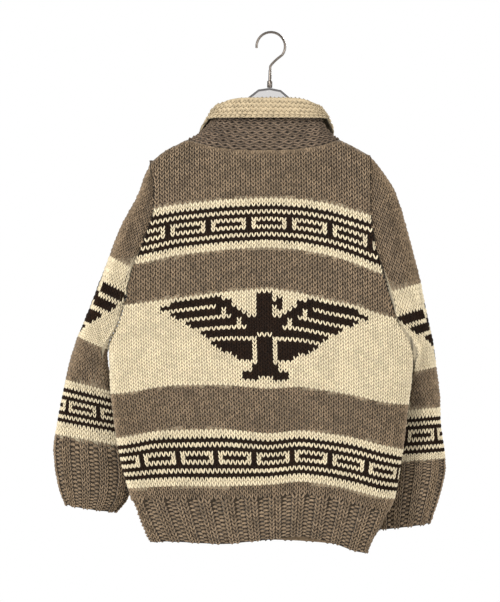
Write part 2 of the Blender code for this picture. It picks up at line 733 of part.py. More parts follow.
def armhole_edge(which, side, inset):
    """The sleeve's edge along one panel, from the shoulder down, a seam's gap off the panel."""
    share = 0.0 if which > 0.0 else 1.0
    side_x = body_edges(BODY[0][0])[0 if which > 0.0 else 1]
    edge = []
    for down in ARMHOLE_DOWN:
        point = panel_point(share, down, side_x, side, inset, ("left", "right"))
        low = smooth((UNDERARM_Z + CORNER - point[2]) / CORNER)
        edge.append(point + np.array((which * (GAP + 0.5 * EASE * low), 0.0, EASE * low)))
    edge[0][1] = 0.0
    edge[-1][1] = 0.0
    edge[-1][2] += LINING_RISE * inset
    return edge


def armhole_ring(table, which, inset):
    """Turns and points all round the armhole: down the back, then up the front."""
    samples = np.linspace(0.0, math.pi, 61)
    heights = [-sleeve_point(table, turn, armhole_row(table, turn, which), 0.0)[2] for turn in samples]
    back = armhole_edge(which, 1.0, inset)
    front = armhole_edge(which, -1.0, inset)
    drops = [-point[2] for point in armhole_edge(which, 1.0, 0.0)]
    turns = list(np.interp(drops, heights, samples))
    last = len(turns) - 1
    for i in range(last + 1):
        turns[i] = min(max(turns[i], CLOSE_TURN * i), math.pi - CLOSE_TURN * (last - i))
        if 0 < i < last:
            turns[i] = max(turns[i], turns[i - 1] + CLOSE_TURN)
    turns[0] = 0.0
    turns[last] = math.pi
    front_turns = [2.0 * math.pi - turn for turn in turns]
    return turns + front_turns[-2:0:-1], back + front[-2:0:-1]


def make_sleeve(name, table, which, wool):
    turns, seam = armhole_ring(table, which, 0.0)
    _, lining_seam = armhole_ring(table, which, WALL)
    firsts = [armhole_row(table, turn, which) for turn in turns]

    even = [2.0 * math.pi * i / len(turns) for i in range(len(turns))]

    def fan_ring(fan, inset, start):
        """A ring a share of the way from the armhole to the first whole row of the sleeve."""
        ring = []
        for turn, even_turn, first, point in zip(turns, even, firsts, start):
            row = first + (UNDERARM_ROW + 1.0 - first) * fan
            begin = sleeve_point(table, turn, first, inset)
            at = sleeve_point(table, turn + (even_turn - turn) * fan, row, inset)
            away = np.linalg.norm(at - begin)
            at = at + (point - begin) * (1.0 - smooth(away / SEAM_BLEND))
            if fan > 0.0:
                low = smooth((UNDERARM_Z + CORNER - at[2]) / CORNER)
                edge_x = along(BODY, at[2], 1 if which > 0.0 else 2)
                least = edge_x + which * (GAP + LEAVE_SEAM * min(away, SEAM_BLEND)
                                          + inset * max(low, smooth(away / CORNER)))
                at[0] = max(at[0], least) if which > 0.0 else min(at[0], least)
                at[2] += LINING_RISE * inset * low * (1.0 - smooth(away / SEAM_BLEND))
            ring.append(at)
        under = len(ring) // 2
        if fan > 0.0:
            for i, point in enumerate(ring):
                side = 1.0 if i < under else -1.0
                spread = side * (point[1] - ring[under][1])
                if i != under:
                    point[1] = ring[under][1] + side * max(spread, LEAST_SPREAD)
        return ring

    def plain_ring(row, inset):
        return [sleeve_point(table, turn, row, inset) for turn in even]

    last = len(table) - 1
    outer = [fan_ring(fan, 0.0, seam) for fan in SLEEVE_FANS]
    outer += [plain_ring(row, 0.0) for row in range(UNDERARM_ROW + 1, CUFF_ROW + 1)]

    def cuff_place(share):
        return sleeve_point(table, 2.0 * math.pi * share, CUFF_ROW + CUFF_MIDDLE, 0.0)

    ribs = rib_points(CUFF_RIBS, True)
    rib_shares = even_shares([at for at, _ in ribs], cuff_place)
    for past, strength in CUFF_ROWS:
        ring = []
        for share, (_, height) in zip(rib_shares, ribs):
            sink = RIB_RAISE * strength * (1.0 - height)
            ring.append(sleeve_point(table, 2.0 * math.pi * share, CUFF_ROW + past, sink))
        outer.append(ring)
    inner = [fan_ring(fan, WALL, lining_seam) for fan in SLEEVE_FANS]
    inner += [plain_ring(row, WALL) for row in range(UNDERARM_ROW + 1, last)]
    inner.append([sleeve_point(table, 2.0 * math.pi * share, last, WALL) for share in rib_shares])
    wall(name, outer, inner, wool, closed=True)


# ---------------------------------------------------------------- hanger
def make_hanger_body(plastic):
    """An I-section swept along the hanger's upper edge, from one arm's end to the other's."""
    right = list(HANGER_TOP)
    line = [(-x, z) for x, z in right[::-1]] + right[1:]
    fine = []
    for (x0, z0), (x1, z1) in zip(line, line[1:]):
        fine += [(x0, z0), (0.5 * (x0 + x1), 0.5 * (z0 + z1))]
    fine.append(line[-1])
    bm = bmesh.new()
    rings = []
    for number, (x, z) in enumerate(fine):
        ahead = fine[min(number + 1, len(fine) - 1)]
        behind = fine[max(number - 1, 0)]
        length = math.hypot(ahead[0] - behind[0], ahead[1] - behind[1])
        down = ((ahead[1] - behind[1]) / length, -(ahead[0] - behind[0]) / length)
        tall = along(ARM_TALL, abs(x), 1)
        section = (
            (-FLANGE, 0.0), (FLANGE, 0.0), (FLANGE, FLANGE_THICK), (WEB, FLANGE_THICK),
            (WEB, tall - FLANGE_THICK), (FLANGE, tall - FLANGE_THICK), (FLANGE, tall), (-FLANGE, tall),
            (-FLANGE, tall - FLANGE_THICK), (-WEB, tall - FLANGE_THICK), (-WEB, FLANGE_THICK),
            (-FLANGE, FLANGE_THICK),
        )
        ring = []
        for y, drop in section:
            hx, hz = tilted(x + down[0] * drop, z + down[1] * drop)
            ring.append(bm.verts.new((hx * MM, y * MM, hz * MM)))
        rings.append(ring)
    for first, second in zip(rings, rings[1:]):
        zip_rows(bm, first + [first[0]], second + [second[0]])
    for ring in (rings[0], rings[-1]):
        bm.faces.new(ring)
    finish(bm, "hanger_body", plastic, 30.0)


def make_ferrule(chrome):
    bpy.ops.mesh.primitive_cylinder_add(
        vertices=FERRULE_SIDES, radius=FERRULE_RADIUS * MM, depth=FERRULE_TALL * MM)
    ferrule = bpy.context.object
    ferrule.name = "hanger_ferrule"
    ferrule.data.materials.append(chrome)
    for vertex in ferrule.data.vertices:
        vertex.co.z += (FERRULE_TOP_Z - 0.5 * FERRULE_TALL) * MM
    ferrule.rotation_euler = (0.0, -TILT, 0.0)
    bevel = ferrule.modifiers.new("edges", "BEVEL")
    bevel.width = FERRULE_EDGE * MM
    bevel.segments = 2
    move_to_part(ferrule)


def make_hook(chrome):
    """A bent wire: a round crook over the origin, then a bend back to the ferrule."""
    centre_z = WIRE - HOOK_RADIUS
    points = []
    for angle in np.radians(np.linspace(HOOK_TIP_ANGLE, HOOK_END_ANGLE, HOOK_STEPS + 1)):
        points.append((HOOK_RADIUS * math.cos(angle), centre_z + HOOK_RADIUS * math.sin(angle)))
    x0, z0 = points[-1]
    bend = (HOOK_BEND_X, HOOK_BEND_Z)
    end = (0.0, FERRULE_TOP_Z + HOOK_LEVEL)
    for step in range(1, HOOK_BEND_STEPS + 1):
        share = step / HOOK_BEND_STEPS
        first = (1.0 - share) ** 2
        second = 2.0 * share * (1.0 - share)
        third = share ** 2
        points.append((first * x0 + second * bend[0] + third * end[0],
                       first * z0 + second * bend[1] + third * end[1]))
    points.append((0.0, FERRULE_TOP_Z + GAP))
    curve = bpy.data.curves.new("hanger_hook", "CURVE")
    curve.dimensions = "3D"
    curve.bevel_depth = WIRE * MM
    curve.bevel_resolution = 2
    curve.use_fill_caps = True
    spline = curve.splines.new("POLY")
    spline.points.add(len(points) - 1)
    for spot, (x, z) in zip(spline.points, points):
        spot.co = (x * MM, 0.0, z * MM, 1.0)
    curve.materials.append(chrome)
    hook = bpy.data.objects.new("hanger_hook", curve)
    bpy.data.collections[COLLECTION].objects.link(hook)
    hook.rotation_euler = (0.0, -TILT, 0.0)


def move_to_part(part):
    for collection in list(part.users_collection):
        collection.objects.unlink(part)
    bpy.data.collections[COLLECTION].objects.link(part)


# ---------------------------------------------------------------- assembly
def make_materials():
    materials = {}
    for name, (red, green, blue, rough, metal) in COLOURS.items():
        material = bpy.data.materials.new(name)
        material.use_nodes = True
        shader = material.node_tree.nodes["Principled BSDF"]
        shader.inputs["Base Color"].default_value = (red, green, blue, 1.0)
        shader.inputs["Roughness"].default_value = rough
        shader.inputs["Metallic"].default_value = metal
        materials[name] = material
    return materials


def main():
    for old in list(bpy.data.objects):
        bpy.data.objects.remove(old)
    collection = bpy.data.collections.new(COLLECTION)
    bpy.context.scene.collection.children.link(collection)
    materials = make_materials()
    brown = materials["brown_wool"]
    make_panels(brown)
    make_front(brown, materials["wood"])
    make_collar(materials["cream_wool"])
    make_sleeve("sleeve_left", SLEEVE_LEFT, 1.0, brown)
    make_sleeve("sleeve_right", SLEEVE_RIGHT, -1.0, brown)
    make_hanger_body(materials["clear_plastic"])
    make_ferrule(materials["chrome"])
    make_hook(materials["chrome"])


main()
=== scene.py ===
"""Looks of a hand-knitted Cowichan cardigan that hangs on a clear plastic hanger.

The panels are closed walls of cloth, and every knit stitch stands on them as a small mesh of its
own yarn. A panel is laid out in columns and rows, as it is knitted: columns are counted from its
middle, rows from the top of the yoke, and a chart says which yarn each stitch has. Tables are in
millimetres, and the garment's front faces -Y.
"""
import math

import bmesh
import bpy
import numpy as np
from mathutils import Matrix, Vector


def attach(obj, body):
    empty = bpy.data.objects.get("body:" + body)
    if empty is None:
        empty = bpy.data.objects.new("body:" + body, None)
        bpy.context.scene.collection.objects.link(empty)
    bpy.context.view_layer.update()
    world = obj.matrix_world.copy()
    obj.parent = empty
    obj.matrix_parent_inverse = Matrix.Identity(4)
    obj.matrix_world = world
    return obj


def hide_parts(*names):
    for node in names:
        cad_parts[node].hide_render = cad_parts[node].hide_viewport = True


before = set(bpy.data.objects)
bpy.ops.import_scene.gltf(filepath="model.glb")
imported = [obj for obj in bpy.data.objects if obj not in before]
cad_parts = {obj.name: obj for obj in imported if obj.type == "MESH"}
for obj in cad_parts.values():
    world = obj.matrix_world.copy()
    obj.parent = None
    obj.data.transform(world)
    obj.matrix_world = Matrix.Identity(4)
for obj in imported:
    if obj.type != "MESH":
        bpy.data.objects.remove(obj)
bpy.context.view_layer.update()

MM = 0.001
BROWN, CREAM, DARK = 0, 1, 2
YARNS = ("brown", "cream", "dark")
rng = np.random.default_rng(11)

# ---------------------------------------------------------------- cloth
WALL = 6.0            # thickness of the cloth
GAP = 0.3             # between pieces at a seam
ROUND = 2.4           # exponent of the flattened tubes' rounded sides
SINK = 1.7            # the wall's face lies this far under the solid's surface, and stitches stand on it
STITCH_WIDE = 8.84
STITCH_PROUD = 2.7    # height of a knit stitch's leg over the wall
COLUMNS = 64          # round half of the body
RIB_DEEP = 2.4

# ---------------------------------------------------------------- body
BODY = (              # z, x of the left edge, x of the right edge, half depth, share of the tube
    (-175.0, 212.0, -172.9, 18.0, 0.50),
    (-226.8, 212.0, -172.9, 20.0, 0.55),
    (-267.0, 204.0, -172.9, 27.0, 0.62),
    (-317.0, 206.0, -173.5, 35.0, 0.72),
    (-377.0, 227.5, -182.0, 42.0, 0.82),
    (-409.0, 243.0, -192.5, 45.0, 0.87),
    (-458.0, 253.0, -206.0, 48.0, 0.92),
    (-501.0, 264.0, -220.0, 50.0, 0.96),
    (-538.5, 284.5, -248.5, 51.0, 1.00),
    (-572.0, 283.5, -248.0, 52.0, 1.00),
    (-620.0, 281.5, -244.5, 53.0, 1.00),
    (-665.0, 277.0, -238.5, 53.5, 1.00),
    (-705.0, 271.5, -234.0, 54.0, 1.00),
    (-750.0, 263.0, -227.0, 53.5, 1.00),
    (-785.0, 253.5, -221.5, 52.0, 1.00),
    (-817.0, 245.0, -216.0, 49.0, 1.00),
    (-858.0, 229.5, -195.0, 46.0, 1.00),
    (-900.0, 212.0, -170.0, 44.0, 1.00),
)
UNDERARM_Z = -538.5
FOLDS = (             # name, x, half width, height, z where it starts, z where it is full
    ("back_dip", 22.0, 34.0, -6.0, -600.0, -830.0),
    ("back_swell", -30.0, 34.0, 6.0, -600.0, -840.0),
    ("left_swell", 120.0, 55.0, 5.0, -420.0, -760.0),
    ("right_dip", -120.0, 40.0, -4.0, -560.0, -800.0),
)
NECK_X = 12.6
NECK_HALF = 131.4
NECK_TOP_Z = -183.0
BACK_NECK_DROP = 20.5
BACK_NECK_CURVE = 3.0
FRONT_NECK_DROP = 150.0
FRONT_NECK_CURVE = 0.9
RIDGE_ROUND = 18.0    # depth over which the shoulders are rounded
SHOULDERS = (         # x, z of the highest line of the cloth
    (-172.9, -212.5), (-153.7, -200.6), (-125.7, -186.6), (-118.8, -183.0), (144.0, -183.0),
    (154.4, -187.0), (182.4, -200.6), (201.6, -214.6), (212.0, -226.0),
)
CENTRE_FRONT = 14.0
BAND_HALF = 18.0
BAND_COLUMNS = 4.0
BAND_ROWS = 80.0
BAND_LIFT = WALL + GAP
LIFT_FADE = 75.0
BAND_TOP_Z = -319.0

BUTTONS = 5
BUTTON_TOP_Z = -375.0
BUTTON_LOW_Z = -845.0
BUTTON_RADIUS = 14.0
BUTTON_THICK = 4.6
BUTTON_FACE = ((2.6, 0.0), (1.2, -1.0), (2.0, -0.2))   # each inset of the face and its step
BUTTON_HOLE = 1.3
BUTTON_HOLES_AT = 3.6
FERRULE_RADIUS = 4.6
FERRULE_NECK = 2.8    # radius where the wire runs in
FERRULE_FOOT = 12.0   # height of the wide part
FERRULE_LOW_Z = -95.2
FERRULE_TOP_Z = -63.7
TILT = math.radians(1.6)   # of the hook and its ferrule, about Y
SHARP = 0.6           # edges that turn by more than this angle are rounded

VIEW_X = 37.1         # what the camera looks at
VIEW_Z = -468.3
VIEW_TALL = 1.0535    # how much of it fills the frame's longer side (m)
CAMERA_AWAY = 8.0     # (m)
ROOM_LIGHT = 0.75
FLOOR_Z = -1.35       # (m)
CENTRE_BACK = (       # z, x of the middle column
    (-890.0, -6.0), (-740.0, -3.0), (-533.0, 3.0), (-330.0, 4.0), (-200.0, 6.0),
)

# ---------------------------------------------------------------- rows
ROWS = (              # row, its height at the middle of the back
    (-10, -134.0), (0, -204.0), (12, -288.0), (25, -374.0), (35, -445.6), (60, -620.6), (71, -699.3),
    (83, -780.7), (87, -811.3), (99, -891.8),
)
RIB_ROW = 87
LAST_ROW = 99
DROOP_X = (280, 240, 206, 168, 80, 5, -50, -103, -147, -190, -235)
DROOP = (             # row, how far the row hangs below its middle at each x of DROOP_X
    (0, (35, 28, 19, 12, 2, 0, 2, 7, 18, 30, 42)),
    (12, (35, 28, 19, 12, 3, 0, 2, 10, 23, 35, 44)),
    (25, (37, 30, 23, 14, 4, 0, 4, 14, 28, 47, 54)),
    (35, (33, 28, 24, 19, 7, 0, 9, 23, 30, 47, 56)),
    (60, (10, 5, -2, -7, -7, 0, -4, 4, 12, 23, 28)),
    (71, (10, 4, -5, -7, -9, 0, -7, 0, 7, 19, 30)),
    (83, (10, 7, 4, 2, 2, 0, -7, 0, 10, 23, 28)),
    (99, (7, 4, 0, 0, 4, -4, -12, 0, 18, 24, 28)),
)

# ---------------------------------------------------------------- sleeves
SLEEVE_LEFT = (       # outer edge x, z; inner edge x, z; half depth; y of the middle
    (212.0, -222.0, 160.0, -247.0, 24.0, 0.0),
    (233.0, -284.5, 159.0, -316.0, 29.0, 0.0),
    (263.0, -337.0, 188.0, -372.0, 33.0, -1.0),
    (285.6, -396.5, 228.0, -430.0, 36.0, -3.0),
    (306.6, -452.5, 244.0, -482.0, 39.0, -6.0),
    (327.6, -505.0, 266.0, -528.0, 42.0, -10.0),
    (339.8, -533.0, 291.0, -556.0, 43.0, -17.0),
    (354.0, -575.0, 284.0, -596.0, 41.0, -36.0),
    (366.0, -627.5, 270.0, -650.0, 37.0, -56.0),
    (376.6, -680.0, 258.0, -701.0, 35.0, -66.0),
    (384.5, -725.5, 248.0, -748.0, 34.0, -70.0),
    (381.8, -760.5, 245.0, -783.0, 33.0, -70.0),
    (374.8, -799.0, 253.0, -820.0, 30.0, -69.0),
    (362.6, -829.0, 274.0, -842.0, 26.0, -67.0),
)
SLEEVE_RIGHT = (
    (-172.9, -212.8, -126.0, -232.0, 24.0, 0.0),
    (-214.9, -270.5, -106.0, -300.0, 29.0, 0.0),
    (-230.6, -317.8, -135.0, -347.0, 33.0, -1.0),
    (-244.6, -370.3, -160.0, -398.0, 36.0, -3.0),
    (-260.4, -431.5, -187.0, -452.0, 39.0, -6.0),
    (-272.6, -492.8, -211.0, -512.0, 42.0, -10.0),
    (-284.0, -542.0, -255.5, -554.0, 43.0, -18.0),
    (-290.2, -585.6, -246.0, -596.0, 41.0, -42.0),
    (-298.0, -634.6, -226.0, -643.0, 38.0, -66.0),
    (-299.0, -685.3, -204.0, -692.0, 35.0, -76.0),
    (-307.6, -739.6, -190.0, -746.0, 34.0, -79.0),
    (-308.5, -771.0, -186.0, -778.0, 33.0, -79.0),
    (-297.0, -816.6, -186.0, -822.0, 30.0, -77.0),
    (-281.0, -862.0, -190.0, -872.0, 26.0, -75.0),
)
SLEEVE_ROWS = (       # knitted row, row of the left table, row of the right table
    (-6, -0.75, 0.0), (0, 0.0, 0.7), (24, 2.87, 4.08), (44, 5.9, 6.95), (55, 7.6, 8.4), (57, 7.87, 8.72),
    (66, 9.0, 9.9), (69, 9.5, 10.2), (87, 13.0, 13.0),
)
SLEEVE_COLUMNS = 40
UNDERARM_ROW = 6      # row of the tables below which a sleeve hangs free
CUFF_ROW = 69
CUFF_END = 87
CUFF_RIBS = 10
SEAM_BLEND = 55.0     # a sleeve meets the body's edge over this length
LEAVE_SEAM = 0.004    # how fast it leaves that edge, mm for each mm
SLEEVE_PULL = 12.0    # closer than this to the body, a sleeve is drawn to it

# ---------------------------------------------------------------- collar
COLLAR_BACK_X = 5.0
COLLAR_SHOULDER = 0.6   # share of the way to a front end at the shoulders
COLLAR = (            # share of the way to a front end; fold x, y, z; cast-off edge x, y, z; sag
    (0.00, 0.0, 24.0, -111.3, 0.0, 42.0, -149.0, 0.0),
    (0.20, 34.0, 23.0, -111.3, 47.0, 41.0, -149.0, 0.0),
    (0.35, 58.0, 19.0, -113.5, 77.0, 36.0, -149.0, 1.0),
    (0.50, 79.0, 8.0, -127.0, 102.0, 27.0, -149.0, 5.0),
    (0.60, 84.0, -3.0, -141.0, 106.0, 3.0, -153.0, 9.0),
    (0.70, 95.0, -17.0, -164.0, 122.0, -29.0, -182.0, 4.0),
    (0.80, 78.0, -24.0, -207.0, 101.0, -38.0, -232.0, 0.0),
    (0.90, 46.0, -31.0, -250.0, 68.0, -45.0, -280.0, 0.0),
    (1.00, 17.0, -40.0, -298.0, 32.0, -54.0, -326.0, 0.0),
)
COLLAR_WALL = 5.6
COLLAR_TURN = 5.4     # radius of the fold
STAND_LEAN = 0.6      # share of the stand over which it turns from the seam's way to its own
STAND_RIDGES = 10
FALL_RIDGES = 4
COLLAR_COLUMNS = 112  # of the collar's wall
STAND_COLUMNS = 39    # of its bumps
FALL_COLUMNS = 50
COLLAR_TUCK = 2.2     # how far its seam reaches into the neck edge
STAND_STEPS = 24      # of a section, from the neck seam to the fold


# ---------------------------------------------------------------- small helpers
def column(table, index):
    return np.array([row[index] for row in table], float)


def smooth(t):
    t = np.clip(t, 0.0, 1.0)
    return t * t * (3.0 - 2.0 * t)


def eased(values, reach):
    """Values with their corners rounded off, over reach steps to each side."""
    kernel = np.hanning(2 * reach + 3)[1:-1]
    start = 2.0 * values[0] - values[reach:0:-1]
    end = 2.0 * values[-1] - values[-2:-reach - 2:-1]
    return np.convolve(np.concatenate((start, values, end)), kernel / kernel.sum(), "valid")


def look_up(table, row, col):
    """A table's value between its points, with row and col counted in its steps."""
    row = np.clip(row, 0.0, table.shape[0] - 1.001)
    col = np.clip(col, 0.0, table.shape[1] - 1.001)
    i = row.astype(int)
    j = col.astype(int)
    f = row - i
    g = col - j
    upper = table[i, j] * (1.0 - g) + table[i, j + 1] * g
    lower = table[i + 1, j] * (1.0 - g) + table[i + 1, j + 1] * g
    return upper * (1.0 - f) + lower * f


def lengths_along(points):
    steps = np.linalg.norm(np.diff(points, axis=0), axis=1)
    return np.concatenate(([0.0], np.cumsum(steps)))


def between(at, keys, points):
    """Points on a line of points, at places counted by its keys."""
    return np.stack([np.interp(at, keys, points[:, k]) for k in range(3)], -1)


def signed_power(value, power):
    return np.sign(value) * np.abs(value) ** power


# ---------------------------------------------------------------- body surface
Z_LEVELS = np.arange(-940.0, -120.0, 4.0)


def level_table(index, reach=5):
    keys = column(BODY, 0)[::-1]
    return eased(np.interp(Z_LEVELS, keys, column(BODY, index)[::-1]), reach)


LEFT_EDGE = level_table(1, 3)
RIGHT_EDGE = level_table(2, 3)
HALF_DEPTH = level_table(3)
TUBE_SHARE = np.minimum(level_table(4, 3), 1.0)
X_LEVELS = np.arange(-200.0, 240.0, 2.0)
RIDGE = eased(np.interp(X_LEVELS, column(SHOULDERS, 0), column(SHOULDERS, 1)), 4)


def at_level(values, z):
    return np.interp(z, Z_LEVELS, values)


def ridge(x):
    return np.interp(x, X_LEVELS, RIDGE)


def fold_height(x, z):
    height = 0.0
    for _, at, half_width, raise_by, start, full in FOLDS:
        height = height + raise_by * smooth((start - z) / (start - full)) * np.exp(-((x - at) / half_width) ** 2)
    return height


def body_depth(x, z, inset, side):
    """Distance of the body's surface from the plane Y = 0."""
    left = at_level(LEFT_EDGE, z)
    right = at_level(RIGHT_EDGE, z)
    half_width = 0.5 * (left - right) / at_level(TUBE_SHARE, z) - inset
    across = np.minimum(np.abs(x - 0.5 * (left + right)) / half_width, 1.0)
    sides = (1.0 - across ** ROUND) ** (1.0 / ROUND)
    depth = at_level(HALF_DEPTH, z) - inset
    if side > 0.0:
        depth = depth + fold_height(x, z) * sides
    over = np.clip((ridge(x) - inset - z) / (RIDGE_ROUND - inset), 0.0, 1.0)
    return depth * sides * np.sqrt(1.0 - (1.0 - over) ** 2)


def top_z(x, side):
    """Height of a panel's upper edge: the neck's curve, and the shoulder line beside it."""
    ratio = np.minimum(np.abs(x - NECK_X) / NECK_HALF, 1.0)
    if side > 0.0:
        neck = NECK_TOP_Z - BACK_NECK_DROP * (1.0 - ratio ** BACK_NECK_CURVE)
    else:
        neck = NECK_TOP_Z - FRONT_NECK_DROP * (1.0 - ratio) ** FRONT_NECK_CURVE
    return np.where(ratio < 1.0, neck, ridge(x))


# ---------------------------------------------------------------- columns and rows of the body
ARC_STEP = 2.0
ARCS = np.arange(-400.0, 401.0, ARC_STEP)


def make_arcs():
    """x at each length of cloth from the middle column, and where the cloth ends, at every level."""
    turns = np.linspace(math.pi, 0.0, 361)
    places = []
    ends = []
    for z in Z_LEVELS:
        left = at_level(LEFT_EDGE, z)
        right = at_level(RIGHT_EDGE, z)
        half_width = 0.5 * (left - right) / at_level(TUBE_SHARE, z)
        xs = 0.5 * (left + right) + half_width * signed_power(np.cos(turns), 2.0 / ROUND)
        ys = at_level(HALF_DEPTH, z) * np.abs(np.sin(turns)) ** (2.0 / ROUND)
        lengths = lengths_along(np.stack((xs, ys), 1))
        lengths -= np.interp(np.interp(z, column(CENTRE_BACK, 0), column(CENTRE_BACK, 1)), xs, lengths)
        places.append(np.interp(ARCS, lengths, xs))
        ends.append((lengths[0], lengths[-1]))
    return np.array(places), np.array(ends)


ARC_X, ARC_ENDS = make_arcs()
COLUMN_WIDE = np.where(Z_LEVELS < UNDERARM_Z, (ARC_ENDS[:, 1] - ARC_ENDS[:, 0]) / COLUMNS, STITCH_WIDE)
DROOP_STEP_X = 4.0
DROOP_XS = np.arange(-300.0, 341.0, DROOP_STEP_X)
DROOP_ROWS = np.arange(-12.0, 101.0, 1.0)
DROOP_LEFT_X, DROOP_RIGHT_X = 270.0, -235.0   # where the fronts take the droop of their sides


def make_droop():
    lines = []
    for _, values in DROOP:
        lines.append(eased(np.interp(DROOP_XS, DROOP_X[::-1], values[::-1]), 5))
    lines = np.array(lines)
    table = [eased(np.interp(DROOP_ROWS, column(DROOP, 0), lines[:, i]), 4) for i in range(len(DROOP_XS))]
    return np.array(table).T


DROOP_TABLE = make_droop()
ROW_HEIGHTS = eased(np.interp(DROOP_ROWS, column(ROWS, 0), column(ROWS, 1)), 3)


def level_of(z):
    return (z - Z_LEVELS[0]) / (Z_LEVELS[1] - Z_LEVELS[0])


def droop(x, v):
    return look_up(DROOP_TABLE, v - DROOP_ROWS[0], (x - DROOP_XS[0]) / DROOP_STEP_X)


def row_z(x, v, side):
    """Height of a knitted row. The fronts' rows only follow the back's at the sides."""
    height = np.interp(v, DROOP_ROWS, ROW_HEIGHTS)
    if side > 0.0:
        return height - droop(x, v)
    left = np.clip((x - CENTRE_FRONT) / 260.0, 0.0, 1.0) ** 2
    right = np.clip((CENTRE_FRONT - x) / 250.0, 0.0, 1.0) ** 2
    return (height - left * droop(np.full_like(x, DROOP_LEFT_X), v)
            - right * droop(np.full_like(x, DROOP_RIGHT_X), v))


def body_place(u, v, side):
    """x and z of a stitch, u columns from the middle and v rows down."""
    x = 4.0 + STITCH_WIDE * u
    for _ in range(3):
        z = row_z(x, v, side)
        x = look_up(ARC_X, level_of(z), (u * at_level(COLUMN_WIDE, z) - ARCS[0]) / ARC_STEP)
    return x, z


def left_lift(x, side):
    """How far the left front stands out to reach the band that laps over the right one."""
    if side > 0.0:
        return 0.0
    return BAND_LIFT * (1.0 - smooth((x - CENTRE_FRONT - BAND_HALF) / LIFT_FADE)) * (x > CENTRE_FRONT)


def body_map(side):
    """The panel's surface as a function of column and row."""
    def surface(u, v):
        x, z = body_place(u, v, side)
        y = np.maximum(body_depth(x, z, 0.0, side), 0.5 * GAP) + left_lift(x, side)
        return np.stack((x, side * y, z), -1)
    return surface


def normals_of(surface, u, v, sign):
    step = 0.12
    across = surface(u + step, v) - surface(u - step, v)
    down = surface(u, v + step) - surface(u, v - step)
    normal = sign * np.cross(across, down)
    return normal / (np.linalg.norm(normal, axis=-1, keepdims=True) + 1e-12)


def edge_columns(us, rooms, outward):
    """Where each row leaves the panel: room is what is left of it beside each column."""
    inside = np.all([room >= 0.0 for room in rooms], axis=0)
    last = np.argmax(inside, axis=1) if outward < 0 else len(us) - 1 - np.argmax(inside[:, ::-1], axis=1)
    after = np.clip(last + outward, 0, len(us) - 1)
    lines = np.arange(len(inside))
    share = np.ones(len(inside))
    for room in rooms:
        here = room[lines, last]
        there = np.minimum(room[lines, after], -1e-9)
        share = np.where(room[lines, after] < -1e-6, np.minimum(share, here / (here - there)), share)
    return us[last] + outward * (us[1] - us[0]) * np.clip(share, 0.0, 1.0)


def body_limits(side, least_x, most_x):
    """First and last column of each row, and first row of each column, inside a panel's edges."""
    us = np.arange(-40.0, 40.01, 0.1)
    vs = np.arange(-10.0, LAST_ROW + 0.01, 0.25)
    u, v = np.meshgrid(us, vs)
    x, z = body_place(u, v, side)
    arc = u * at_level(COLUMN_WIDE, z)
    rooms = (np.minimum(at_level(LEFT_EDGE, z), most_x) - x, x - np.maximum(at_level(RIGHT_EDGE, z), least_x),
             at_level(ARC_ENDS[:, 1], z) - arc, arc - at_level(ARC_ENDS[:, 0], z))
    under = z <= top_z(x, side)
    low = edge_columns(us, rooms, -1)
    high = edge_columns(us, rooms, 1)
    top = vs[np.argmax(under, axis=0)]

    def limits(at):
        return np.interp(at, vs, low), np.interp(at, vs, high)

    return limits, lambda at: np.interp(at, us, top)


# ---------------------------------------------------------------- charts
BORDER = ("c", "c", "d", "c", "d", "bars", "dash", "bars", "d", "c", "d", "c", "c")
SLEEVE_BORDER = BORDER[2:11]
BODY_STRIPES = ((12, 25, BORDER), (35, 60, None), (71, 84, BORDER))   # first row, row after, cream or a border
SLEEVE_STRIPES = ((24, 44, None), (55, 57, None), (57, 66, SLEEVE_BORDER), (66, CUFF_ROW, None))
BIRD_ROW, BIRD_COLUMN = 36, 1
SMALL_BIRD_ROW = 27
WINGS = (             # first row, rows, inner end, outer end, how far the last row steps in
    (0, 2, 9, 20, -2), (3, 2, 9, 18, 1), (6, 2, 6, 15, 1), (9, 2, 4, 12, 1), (12, 5, 3, 10, 5),
)
BODY_OF_BIRD = (      # first and last row; first and last column of each run of dark stitches
    (0, 0, ((-1, 1),)), (1, 1, ((-1, 1), (-3, -3))), (2, 2, ((-3, 1),)), (3, 3, ((-1, 1), (-3, -3))),
    (4, 5, ((-1, 1),)), (6, 6, ((-2, 2),)), (7, 9, ((-3, 3),)), (10, 10, ((-3, -2), (2, 3))),
    (11, 17, ((-1, 1),)), (18, 19, ((-2, 2),)), (20, 20, ((-4, 4),)), (21, 21, ((-4, -2), (2, 4))),
)
BONE = ((1, 7, 8), (2, 7, 9), (3, 6, 7), (4, 5, 7), (5, 4, 6), (6, 3, 4), (7, 4, 4))  # row, first and last column
SMALL_WINGS = ((2, 2, 5, 13, 1), (5, 2, 4, 11, 1), (8, 3, 2, 8, 2), (12, 2, 2, 4, 1))
SMALL_BODY = ((0, -1, 1), (1, -1, 2), (2, -1, 1), (3, -2, 2), (4, -4, 4), (5, -3, 3), (6, -1, 1), (7, -1, 1),
              (8, -1, 1), (9, -1, 1), (10, -1, 1), (11, -1, 1), (12, -1, 1), (13, -2, 2), (14, -3, 3))


def border_yarn(kind, i):
    place = np.mod(i, 8)
    if kind == "c":
        return np.full(i.shape, CREAM)
    if kind == "d":
        return np.full(i.shape, DARK)
    if kind == "bars":
        return np.where(place == 4, DARK, CREAM)
    return np.where((place == 3) | (place == 5), CREAM, DARK)


def wing_cells(wings):
    cells = set()
    for first, rows, inner, outer, step in wings:
        for k in range(rows):
            share = k / max(rows - 1, 1)
            end = outer - max(step, 0) * share - (abs(step) * (1.0 - share) if step < 0 else 0)
            cells |= {(first + k, i) for i in range(inner, int(round(end)) + 1)}
    return cells


